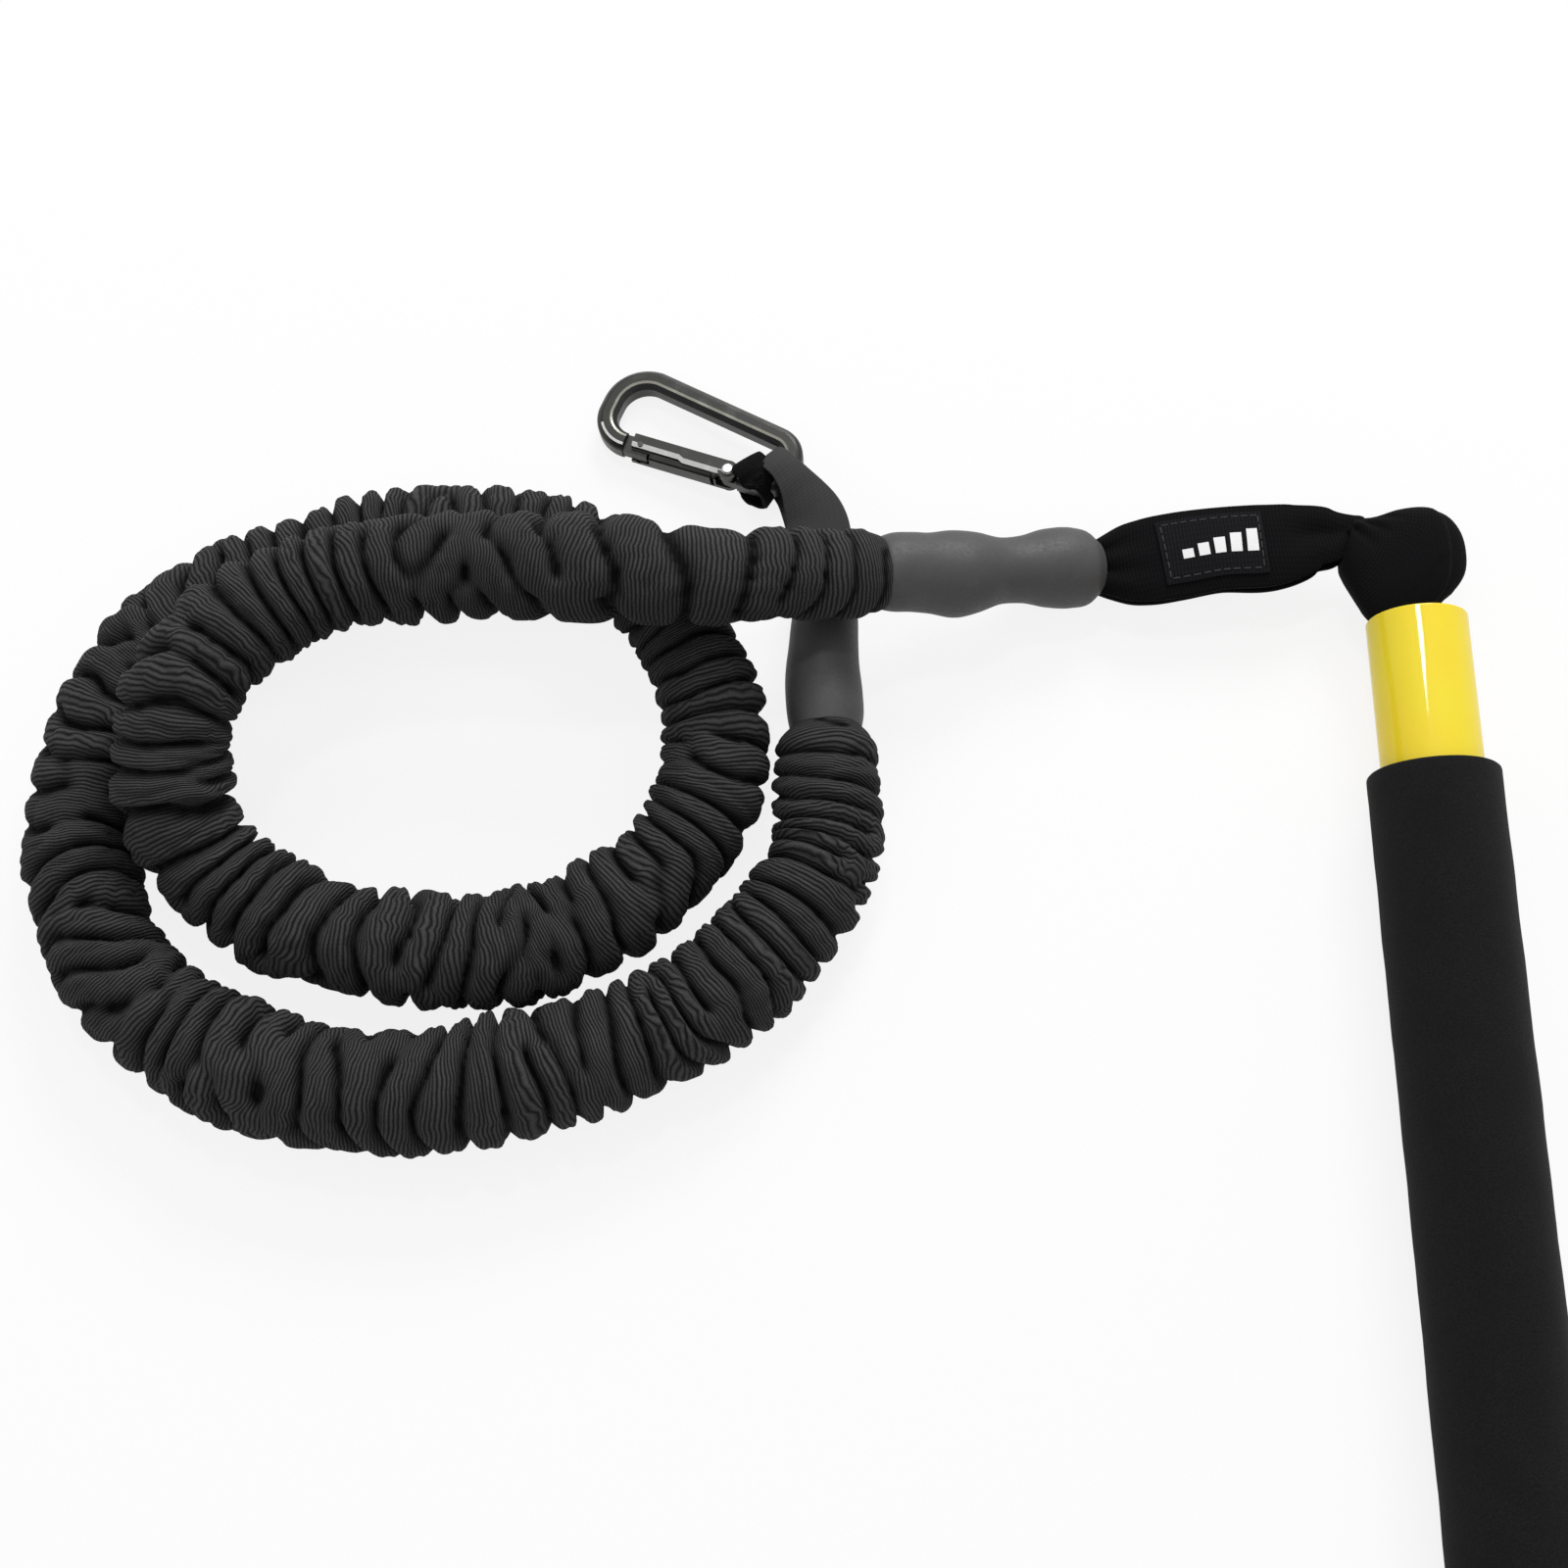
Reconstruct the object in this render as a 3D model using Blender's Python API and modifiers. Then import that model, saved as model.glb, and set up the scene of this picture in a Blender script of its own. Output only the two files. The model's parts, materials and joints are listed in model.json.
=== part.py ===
"""Resistance cord bar: a padded tube bar, an elastic cord hitched to its end, and a carabiner
on the cord.

Metres, +Z up. The bar lies along Y on the floor, with its corded end towards +Y.
The origin is under the middle of the bar, at floor level.
"""

from math import acos, atan2, ceil, cos, pi, radians, sin, tan

import bmesh
import bpy
from mathutils import Matrix, Vector

# Fits
GAP = 0.0003
FREE_PLAY = 0.0004

# Bar tube, grips and cap
TUBE_LENGTH = 1.070
TUBE_RADIUS = 0.01335
TUBE_WALL = 0.0020
GRIP_LENGTH = 0.330
GRIP_WALL = 0.00385
GRIP_INSET = 0.043
GRIP_CHAMFER = 0.0008
CAP_FLANGE = 0.0030
CAP_SPIGOT = 0.0240
CAP_WALL = 0.0022
CAP_ROUNDING = 0.0010
BAR_STEPS = 32
# Roundness of the swept tubes, and of the spring's wire
TUBE_SIDE_STEPS = 2
WIRE_SIDE_STEPS = 1

# Anchor pin and the webbing loop in the tube's mouth
PIN_RADIUS = 0.0030
PIN_DEPTH = 0.0600
PIN_STEPS = 16
LOOP_THICKNESS = 0.0018
LOOP_WIDTH_IN_TUBE = 0.0190
LOOP_SPREAD_IN_TUBE = 0.0032
HITCH_REACH = 0.0250
HITCH_SIDE = -0.0136
HITCH_HEIGHT = 0.0150
# Radius of the loop's fold at the hitch, and of the strap's fold through it
LOOP_EYE = 0.0040
STRAP_EYE = 0.0059

# Elastic tube, its plugs and clamp rings
ELASTIC_RADIUS = 0.0060
ELASTIC_BORE = 0.0030
ELASTIC_POINTS = 78
ELASTIC_INSERT = 0.0180
BORE_OVERRUN = 0.0008
PLUG_BARB = 0.0004
PLUG_STEM = 0.0140
PLUG_TIP = 0.0042
PLUG_DISC = 0.0020
PLUG_DISC_RADIUS = 0.0072
PLUG_CHEEK_LENGTH = 0.0105
PLUG_CHEEK_WALL = 0.0014
PLUG_CHEEK_HEIGHT = 0.0052
PLUG_BAR_RADIUS = 0.0020
PLUG_BAR_REACH = 0.0078
CLAMP_WIDTH = 0.0060
CLAMP_WALL = 0.0012
CLAMP_SETBACK = 0.0040
PLUG_STEPS = 16
PLUG_BAR_STEPS = 12

# Gathered sleeve
SLEEVE_RIBS = 170
SLEEVE_FOLD = 0.0013
SLEEVE_BORE = 0.0072
SLEEVE_STRAIGHT = 0.0280
SLEEVE_END_RADIUS = 0.0104

# Shrink sleeves: each length from the elastic's side outwards, and its waisted outline as
# shares of that length with the outer radius there
SHRINK_WALL = 0.0011
SHRINK_LENGTH_BAR = 0.0620
SHRINK_LENGTH_CLIP = 0.0460
SHRINK_OUTLINE_BAR = [
    (0.00, 0.0096), (0.14, 0.0100), (0.31, 0.0111), (0.46, 0.0102), (0.58, 0.0082),
    (0.68, 0.0086), (0.82, 0.0103), (0.93, 0.0100), (1.00, 0.0084),
]
SHRINK_OUTLINE_CLIP = [
    (0.00, 0.0093), (0.20, 0.0103), (0.40, 0.0098), (0.56, 0.0093), (0.70, 0.0088),
    (0.86, 0.0084), (1.00, 0.0076),
]
SHRINK_STEPS = 20

# Webbing straps on the cord
STRAP_THICKNESS = 0.0018
STRAP_PLY_GAP = 0.0008
STRAP_GATHER = 0.0092
# Share of its way to the plug by which a strap has drawn in to that width, and how far
# before the plug's bar its plies part
STRAP_GATHERED_BY = 0.4
STRAP_PARTING = 0.0060
LABEL_WIDTH = 0.0170
LABEL_THICKNESS = 0.0006
LABEL_STEPS = 6
FOLD_STEPS = 6
BAR_STRAP_STEPS = 2
CLIP_STRAP_STEPS = 3
HOOD_STEPS = 3

# Carabiner, by the middle line of its bar
CLIP_LENGTH = 0.0545
CLIP_BIG_WIDTH = 0.0222
CLIP_SMALL_WIDTH = 0.0138
CLIP_BAR_WIDTH = 0.0058
CLIP_BAR_HEIGHT = 0.0075
CLIP_BAR_CHAMFER = 0.0013
CLIP_SMALL_RADIUS = 0.0066
CLIP_SPINE_RADIUS = 0.0100
CLIP_NOSE_RADIUS = 0.0080
CLIP_HELD_ANGLE = radians(160)
CLIP_HEADING = radians(154.7)
# Radius of the strap's fold round the carabiner
CLIP_EYE = 0.0072
GATE_PIVOT = 0.0150
GATE_NOSE = 0.0435
GATE_CHAMFER = 0.0006
# The gate's top, narrower over the half at its nose, and the ledge along its outer side:
# the ledge's height over the bar's middle plane, and its step up where the top narrows
GATE_TOP_WIDTH = 0.0042
GATE_TOP_NARROWING = 0.0008
GATE_LEDGE_HEIGHT = 0.0019
GATE_LEDGE_STEP = 0.0002
GATE_LEDGE_SETBACK = 0.0009
TANG_THICKNESS = 0.0030
TANG_WIDTH = 0.0052
RIVET_RADIUS = 0.0011
RIVET_HEAD = 0.0018
RIVET_HEAD_TOP = 0.00125
RIVET_HEAD_HEIGHT = 0.0006
NOSE_PIN_RADIUS = 0.0008
NOSE_PIN_SETBACK = 0.0024
NOSE_TANG_REACH = 0.0048
GATE_BORE_RADIUS = 0.0016
PLUNGER_RADIUS = 0.0012
PLUNGER_LENGTH = 0.0040
SPRING_WIRE = 0.00045
SPRING_TURNS = 7
SPRING_LENGTH = 0.0086
SPRING_TURN_POINTS = 10
RIVET_STEPS = 14
NOSE_PIN_STEPS = 12
BEND_STEPS = 6
KNUCKLE_STEPS = 8

# The cord's middle line from the straight run at its bar end to the one at its carabiner
# end, from the hitch: across the bar, along it, height, and the sleeve's outer radius
CORD_ROUTE = [
    (-0.1570, -0.0165, 0.0362, 0.0112),
    (-0.1700, -0.0180, 0.0394, 0.0117),
    (-0.1830, -0.0178, 0.0414, 0.0122),
    (-0.1975, -0.0165, 0.0418, 0.0126),
    (-0.2170, -0.0146, 0.0405, 0.0134),
    (-0.2400, -0.0134, 0.0396, 0.0136),
    (-0.2620, -0.0146, 0.0393, 0.0134),
    (-0.2790, -0.0184, 0.0390, 0.0136),
    (-0.2925, -0.0250, 0.0388, 0.0138),
    (-0.3028, -0.0350, 0.0386, 0.0142),
    (-0.3102, -0.0470, 0.0368, 0.0147),
    (-0.3142, -0.0610, 0.0314, 0.0150),
    (-0.3130, -0.0740, 0.0244, 0.0147),
    (-0.3050, -0.0870, 0.0180, 0.0143),
    (-0.2905, -0.0980, 0.0149, 0.0141),
    (-0.2700, -0.1066, 0.0147, 0.0143),
    (-0.2450, -0.1107, 0.0147, 0.0143),
    (-0.2230, -0.1084, 0.0147, 0.0143),
    (-0.2040, -0.1002, 0.0146, 0.0142),
    (-0.1880, -0.0875, 0.0140, 0.0136),
    (-0.1775, -0.0730, 0.0142, 0.0138),
    (-0.1745, -0.0570, 0.0143, 0.0139),
    (-0.1765, -0.0410, 0.0139, 0.0135),
    (-0.1830, -0.0245, 0.0132, 0.0128),
    (-0.1945, -0.0105, 0.0132, 0.0128),
    (-0.2100, -0.0008, 0.0137, 0.0133),
    (-0.2330, 0.0048, 0.0141, 0.0137),
    (-0.2570, 0.0048, 0.0142, 0.0138),
    (-0.2800, -0.0005, 0.0142, 0.0138),
    (-0.3020, -0.0090, 0.0142, 0.0138),
    (-0.3220, -0.0235, 0.0142, 0.0138),
    (-0.3355, -0.0430, 0.0143, 0.0139),
    (-0.3415, -0.0660, 0.0145, 0.0141),
    (-0.3400, -0.0900, 0.0147, 0.0143),
    (-0.3285, -0.1150, 0.0150, 0.0146),
    (-0.3080, -0.1325, 0.0154, 0.0150),
    (-0.2800, -0.1435, 0.0160, 0.0156),
    (-0.2480, -0.1465, 0.0164, 0.0160),
    (-0.2190, -0.1412, 0.0162, 0.0158),
    (-0.1918, -0.1322, 0.0156, 0.0152),
    (-0.1690, -0.1174, 0.0150, 0.0146),
    (-0.1530, -0.0985, 0.0146, 0.0142),
    (-0.1456, -0.0800, 0.0142, 0.0138),
]
# Directions of the two straight ends, pointing away from the coil
BAR_END_HEADING = (0.0620, 0.0079, -0.0185)
CLIP_END_HEADING = (0.0004, 0.0510, -0.0028)
ROUTE_STEP = 0.002
# Stretches of the cord closer together than this, along it, aren't neighbours
NEIGHBOUR_LENGTH = 0.084

# Free stretch of the strap at the bar, from the hitch (0) to the shrink sleeve (1):
# share of the way, sideways, height, spread, turn in degrees, half width
BAR_STRAP_RUN = [
    (0.00, 0.0000, 0.0000, STRAP_EYE, 0, 0.0028),
    (0.06, 0.0000, 0.0000, STRAP_EYE, 6, 0.0030),
    (0.13, -0.0003, 0.0002, 0.0055, 36, 0.0050),
    (0.21, -0.0008, 0.0003, 0.0045, 66, 0.0083),
    (0.30, -0.0014, 0.0004, 0.0036, 84, 0.0104),
    (0.42, -0.0018, 0.0004, 0.0032, 90, 0.0109),
    (0.57, -0.0018, 0.0004, 0.0031, 90, 0.0113),
    (0.73, -0.0014, 0.0003, 0.0028, 90, 0.0112),
    (0.85, -0.0006, 0.0002, 0.0022, 90, 0.0098),
    (0.94, 0.0000, 0.0000, 0.0017, 90, 0.0072),
]
LABEL_RUN = (0.36, 0.76)
# The same for the strap at the carabiner
CLIP_STRAP_RUN = [
    (0.00, 0.0000, 0.0000, CLIP_EYE, 90, 0.0037),
    (0.14, 0.0009, 0.0000, CLIP_EYE, 90, 0.0043),
    (0.34, 0.0028, -0.0006, 0.0056, 90, 0.0060),
    (0.58, 0.0034, -0.0008, 0.0036, 90, 0.0078),
    (0.80, 0.0020, -0.0004, 0.0023, 90, 0.0082),
    (0.94, 0.0005, 0.0000, 0.0017, 90, 0.0066),
]
# Where the strap holds the carabiner, from the hitch, and the far end's height
CLIP_HELD_PLACE = (-0.1551, 0.0240)
CLIP_REST_HEIGHT = CLIP_BAR_HEIGHT / 2 + GAP

# The webbing hood between the hitch and the tube's mouth, from the hitch: inner edge,
# outer edge, height and spread of its two plies
HOOD_RUN = [
    ((0.0000, -0.0023), (0.0000, 0.0023), HITCH_HEIGHT, LOOP_EYE),
    ((0.0026, -0.0050), (0.0036, 0.0046), 0.0152, 0.0049),
    ((-0.0004, -0.0092), (0.0108, 0.0064), 0.0158, 0.0058),
    ((-0.0020, -0.0128), (0.0200, 0.0068), 0.0164, 0.0062),
    ((-0.0018, -0.0165), (0.0272, 0.0010), 0.0169, 0.0061),
    ((-0.0002, -0.0196), (0.0276, -0.0095), 0.0171, 0.0050),
    ((0.0034, -0.0226), (0.0238, -0.0195), 0.0172, 0.0038),
]

# Colours: red, green, blue, roughness, metallic
FINISHES = {
    "tube_yellow": (0.93, 0.72, 0.02, 0.22, 0.0),
    "foam_black": (0.018, 0.018, 0.019, 0.92, 0.0),
    "cap_black": (0.022, 0.022, 0.024, 0.55, 0.0),
    "webbing_black": (0.010, 0.010, 0.011, 0.85, 0.0),
    "webbing_grey": (0.035, 0.035, 0.037, 0.80, 0.0),
    "label_black": (0.013, 0.013, 0.015, 0.75, 0.0),
    "shrink_grey": (0.052, 0.052, 0.054, 0.58, 0.0),
    "sleeve_black": (0.020, 0.020, 0.022, 0.88, 0.0),
    "latex_tan": (0.62, 0.45, 0.24, 0.45, 0.0),
    "plug_white": (0.80, 0.79, 0.75, 0.40, 0.0),
    "steel": (0.62, 0.62, 0.64, 0.30, 1.0),
    "clip_grey": (0.060, 0.062, 0.066, 0.38, 0.9),
}

# Worked out from the sizes above
TUBE_BORE = TUBE_RADIUS - TUBE_WALL
GRIP_RADIUS = TUBE_RADIUS + GRIP_WALL
AXIS_HEIGHT = (GRIP_RADIUS + GAP) * cos(pi / BAR_STEPS)
HOOD_REACH = HITCH_REACH + max(row[1][1] for row in HOOD_RUN)
# The bar with its cap and hood is centred on the origin
MOUTH_Y = (TUBE_LENGTH + CAP_FLANGE + GAP - HOOD_REACH) / 2
FAR_END_Y = MOUTH_Y - TUBE_LENGTH
HITCH = Vector((HITCH_SIDE, MOUTH_Y + HITCH_REACH, 0.0))
PLY = STRAP_THICKNESS / 2
UP = Vector((0.0, 0.0, 1.0))


def clear_scene():
    for found in list(bpy.data.objects):
        bpy.data.objects.remove(found, do_unlink=True)


def new_collection(name, hidden=False):
    made = bpy.data.collections.new(name)
    made.hide_render = hidden
    bpy.context.scene.collection.children.link(made)
    return made


def finish_named(name):
    found = bpy.data.materials.get(name)
    if found:
        return found
    red, green, blue, roughness, metallic = FINISHES[name]
    made = bpy.data.materials.new(name)
    made.use_nodes = True
    shader = made.node_tree.nodes["Principled BSDF"]
    shader.inputs["Base Color"].default_value = (red, green, blue, 1.0)
    shader.inputs["Roughness"].default_value = roughness
    shader.inputs["Metallic"].default_value = metallic
    made.diffuse_color = (red, green, blue, 1.0)
    return made


def add_object(name, data, finish, collection):
    made = bpy.data.objects.new(name, data)
    collection.objects.link(made)
    if finish:
        data.materials.append(finish_named(finish))
    return made


def mesh_from(name, work, smooth_below=radians(35)):
    bmesh.ops.recalc_face_normals(work, faces=work.faces)
    data = bpy.data.meshes.new(name)
    work.to_mesh(data)
    work.free()
    data.shade_smooth()
    data.set_sharp_from_angle(angle=smooth_below)
    return data


def point_along(target, origin, direction, roll=0.0):
    """Puts a piece at a place with its own Z along a direction."""
    turn = Vector(direction).to_track_quat("Z", "Y").to_matrix().to_4x4()
    target.matrix_world = Matrix.Translation(origin) @ turn @ Matrix.Rotation(roll, 4, "Z")


def helper(target):
    target.hide_render = True
    target.display_type = "WIRE"


def cut(target, cutter, operation="DIFFERENCE"):
    step = target.modifiers.new(cutter.name, "BOOLEAN")
    step.operation = operation
    step.solver = "EXACT"
    step.object = cutter
    helper(cutter)


def turned(name, outline, steps, finish, collection):
    """A closed outline of (radius, height), down its outer side first, turned about Z."""
    work = bmesh.new()
    corners = [work.verts.new((radius, 0.0, height)) for radius, height in outline]
    for first, second in zip(corners, corners[1:] + corners[:1]):
        if max(first.co.x, second.co.x) > 0.0:
            work.edges.new((first, second))
    data = bpy.data.meshes.new(name)
    work.to_mesh(data)
    work.free()
    made = add_object(name, data, finish, collection)
    spin = made.modifiers.new("turn", "SCREW")
    spin.steps = steps
    spin.render_steps = steps
    spin.use_merge_vertices = True
    spin.merge_threshold = 0.00001
    spin.use_smooth_shade = False
    return made


def cylinder(name, radius, length, steps, finish, collection, far_radius=None):
    work = bmesh.new()
    far = radius if far_radius is None else far_radius
    bmesh.ops.create_cone(
        work, cap_ends=True, segments=steps, radius1=radius, radius2=far, depth=length
    )
    return add_object(name, mesh_from(name, work), finish, collection)


def block(name, size, finish, collection):
    work = bmesh.new()
    bmesh.ops.create_cube(work, size=1.0)
    bmesh.ops.scale(work, vec=size, verts=work.verts)
    return add_object(name, mesh_from(name, work), finish, collection)


def swept(name, points, radius, side_steps, finish, collection, weights=None):
    """A tube along points. Weights scale the radius at each point."""
    data = bpy.data.curves.new(name, "CURVE")
    data.dimensions = "3D"
    data.bevel_depth = radius
    data.bevel_resolution = side_steps
    data.use_fill_caps = True
    line = data.splines.new("POLY")
    line.points.add(len(points) - 1)
    for index, place in enumerate(points):
        line.points[index].co = (*place, 1.0)
        line.points[index].radius = weights[index] if weights else 1.0
    return add_object(name, data, finish, collection)


def as_mesh(curve, collection):
    """The same piece as a closed mesh, which booleans need."""
    graph = bpy.context.evaluated_depsgraph_get()
    data = bpy.data.meshes.new_from_object(curve.evaluated_get(graph))
    work = bmesh.new()
    work.from_mesh(data)
    bmesh.ops.remove_doubles(work, verts=work.verts, dist=0.000001)
    bmesh.ops.recalc_face_normals(work, faces=work.faces)
    work.to_mesh(data)
    work.free()
    name = curve.name
    place = curve.matrix_world.copy()
    bpy.data.objects.remove(curve, do_unlink=True)
    made = bpy.data.objects.new(name, data)
    collection.objects.link(made)
    made.matrix_world = place
    return made


def hermite(first, second, out, into, share):
    """A point of the smooth curve between two points with their tangents."""
    square = share * share
    cube = square * share
    return (
        first * (2 * cube - 3 * square + 1)
        + out * (cube - 2 * square + share)
        + second * (3 * square - 2 * cube)
        + into * (cube - square)
    )


def smoothed(rows, steps):
    """Rows of numbers on a smooth curve through the given rows, in steps from each to the
    next."""
    knots = [Vector(row) for row in rows]
    tangents = [(after - before) / 2 for before, after in zip(knots, knots[2:])]
    tangents.insert(0, knots[1] - knots[0])
    tangents.append(knots[-1] - knots[-2])
    fine = []
    for index in range(len(knots) - 1):
        ends = (knots[index], knots[index + 1], tangents[index], tangents[index + 1])
        fine += [hermite(*ends, i / steps) for i in range(steps)]
    fine.append(knots[-1])
    return fine


def cord_line():
    """The cord's whole middle line: [(place, sleeve radius)], evenly spaced, from the
    outer end of the bar's shrink sleeve to that of the carabiner's."""
    bar_way = Vector(BAR_END_HEADING).normalized()
    clip_way = Vector(CLIP_END_HEADING).normalized()
    knots = [Vector((*(HITCH + Vector(row[:3])), row[3])) for row in CORD_ROUTE]
    tangents = [(after - before) / 2 for before, after in zip(knots, knots[2:])]
    first_step = (knots[1] - knots[0]).length
    last_step = (knots[-1] - knots[-2]).length
    tangents.insert(0, Vector((*(-bar_way * first_step), 0.0)))
    tangents.append(Vector((*(clip_way * last_step), 0.0)))
    bar_lead = SHRINK_LENGTH_BAR + SLEEVE_STRAIGHT
    clip_lead = SHRINK_LENGTH_CLIP + SLEEVE_STRAIGHT
    start = Vector((*(knots[0].xyz + bar_way * bar_lead), SLEEVE_END_RADIUS))
    finish = Vector((*(knots[-1].xyz + clip_way * clip_lead), SLEEVE_END_RADIUS))
    fine = [start]
    lead_steps = ceil(bar_lead / ROUTE_STEP)
    fine += [straight(start, knots[0], i / lead_steps) for i in range(1, lead_steps)]
    for index in range(len(knots) - 1):
        steps = ceil((knots[index + 1] - knots[index]).length / ROUTE_STEP)
        for i in range(steps):
            ends = (knots[index], knots[index + 1], tangents[index], tangents[index + 1])
            fine.append(hermite(*ends, i / steps))
    lead_steps = ceil(clip_lead / ROUTE_STEP)
    fine += [straight(knots[-1], finish, i / lead_steps) for i in range(lead_steps)]
    fine.append(finish)
    return fine


def straight(first, second, share):
    return first.lerp(second, share)


def lengths_along(line):
    runs = [0.0]
    for before, after in zip(line, line[1:]):
        runs.append(runs[-1] + (after.xyz - before.xyz).length)
    return runs


def at_length(line, runs, wanted):
    """The place and radius at a length along the line."""
    wanted = min(max(wanted, 0.0), runs[-1])
    index = next(i for i, run in enumerate(runs) if run >= wanted)
    if index == 0:
        return line[0]
    share = (wanted - runs[index - 1]) / (runs[index] - runs[index - 1])
    return line[index - 1].lerp(line[index], share)


def evenly(line, runs, start, end, count):
    return [at_length(line, runs, start + (end - start) * i / (count - 1)) for i in range(count)]


def ring_of(centre, across, normal, half_width, half_thickness):
    """The ten corners of a strap's section."""
    shares = (-1.0, -0.5, 0.0, 0.5, 1.0)
    upper = [centre + across * (half_width * s) + normal * half_thickness for s in shares]
    lower = [centre + across * (half_width * s) - normal * half_thickness for s in shares]
    return upper + lower[::-1]


def band(name, rings, cyclic, finish, collection):
    """A strap through its sections, joined into a loop or capped."""
    work = bmesh.new()
    rows = [[work.verts.new(place) for place in ring] for ring in rings]
    pairs = list(zip(rows, rows[1:]))
    if cyclic:
        pairs.append((rows[-1], rows[0]))
    for first, second in pairs:
        for i in range(len(first)):
            j = (i + 1) % len(first)
            work.faces.new((first[i], first[j], second[j], second[i]))
    if not cyclic:
        work.faces.new(rows[0])
        work.faces.new(reversed(rows[-1]))
    return add_object(name, mesh_from(name, work), finish, collection)


def loop_rings(sections, half_thickness):
    """Rings of a flat loop. Each section is its middle, the way on, the way from one ply
    to the other, the plies' distance from the middle, and their half width."""
    rings = []

    def add_fold(section, sign):
        middle, onward, side, spread, half_width = section
        across = onward.cross(side).normalized()
        for i in range(1, FOLD_STEPS):
            angle = pi * i / FOLD_STEPS
            out = (side * cos(angle) + onward * sin(angle)) * sign
            rings.append(ring_of(middle + out * spread, across, out, half_width, half_thickness))

    for middle, onward, side, spread, half_width in sections:
        across = onward.cross(side).normalized()
        rings.append(ring_of(middle + side * spread, across, side, half_width, half_thickness))
    add_fold(sections[-1], 1.0)
    for middle, onward, side, spread, half_width in reversed(sections):
        across = onward.cross(side).normalized()
        rings.append(ring_of(middle - side * spread, across, -side, half_width, half_thickness))
    add_fold(sections[0], -1.0)
    return rings


def strap_sections(run, near, near_way, far, far_way, tail):
    """Sections of a cord strap from its outer fold, at near, to its plug, past far."""
    sections = []
    reach = far - near
    for share, sideways, height, spread, turn, half_width in run:
        onward = near_way.lerp(far_way, share).normalized()
        flat = UP.cross(onward).normalized()
        level = onward.cross(flat).normalized()
        middle = near + reach * share + flat * sideways + UP * height
        side = (level * sin(radians(turn)) - flat * cos(radians(turn))).normalized()
        sections.append((middle, onward, side, spread, half_width))
    flat = UP.cross(far_way).normalized()
    level = far_way.cross(flat).normalized()
    for depth, spread, half_width in tail:
        sections.append((far + far_way * depth, far_way, level, spread, half_width))
    return sections


def build_bar(parts, cutters):
    tube_outline = [
        (TUBE_RADIUS, TUBE_LENGTH), (TUBE_RADIUS, 0.0), (TUBE_BORE, 0.0), (TUBE_BORE, TUBE_LENGTH),
    ]
    tube = turned("bar_tube", tube_outline, BAR_STEPS, "tube_yellow", parts)
    facet = pi / BAR_STEPS
    along = Vector((0.0, 1.0, 0.0))
    point_along(tube, (0.0, FAR_END_Y, AXIS_HEIGHT), along, facet)
    pin_place = Vector((0.0, MOUTH_Y - PIN_DEPTH, AXIS_HEIGHT))
    hole = cylinder("pin_hole", PIN_RADIUS + GAP, TUBE_RADIUS * 3, PIN_STEPS, None, cutters)
    point_along(hole, pin_place, (1.0, 0.0, 0.0))
    cut(tube, hole)
    pin_length = 2 * (TUBE_RADIUS * cos(facet) - GAP)
    pin = cylinder("anchor_pin", PIN_RADIUS, pin_length, PIN_STEPS, "steel", parts)
    point_along(pin, pin_place, (1.0, 0.0, 0.0))

    bore = (TUBE_RADIUS + GAP) / cos(facet)
    radius = GRIP_RADIUS + GAP
    outline = [
        (radius - GRIP_CHAMFER, GRIP_LENGTH), (radius, GRIP_LENGTH - GRIP_CHAMFER),
        (radius, GRIP_CHAMFER), (radius - GRIP_CHAMFER, 0.0),
        (bore, 0.0), (bore, GRIP_LENGTH),
    ]
    near_grip = turned("foam_grip_cord_end", outline, BAR_STEPS, "foam_black", parts)
    start = MOUTH_Y - GRIP_INSET - GRIP_LENGTH
    point_along(near_grip, (0.0, start, AXIS_HEIGHT), along, facet)
    far_grip = turned("foam_grip_far_end", outline, BAR_STEPS, "foam_black", parts)
    point_along(far_grip, (0.0, FAR_END_Y + GRIP_INSET, AXIS_HEIGHT), along, facet)

    inner = TUBE_BORE * cos(facet) - GAP
    cap = turned(
        "far_end_cap",
        [
            (0.0, CAP_FLANGE), (TUBE_RADIUS - CAP_ROUNDING, CAP_FLANGE),
            (TUBE_RADIUS, CAP_FLANGE - CAP_ROUNDING), (TUBE_RADIUS, 0.0),
            (inner, 0.0), (inner - CAP_ROUNDING / 2, -CAP_SPIGOT),
            (inner - CAP_WALL, -CAP_SPIGOT), (inner - CAP_WALL, -GAP), (0.0, -GAP),
        ],
        BAR_STEPS, "cap_black", parts,
    )
    point_along(cap, (0.0, FAR_END_Y - GAP, AXIS_HEIGHT), -along, facet)


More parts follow.
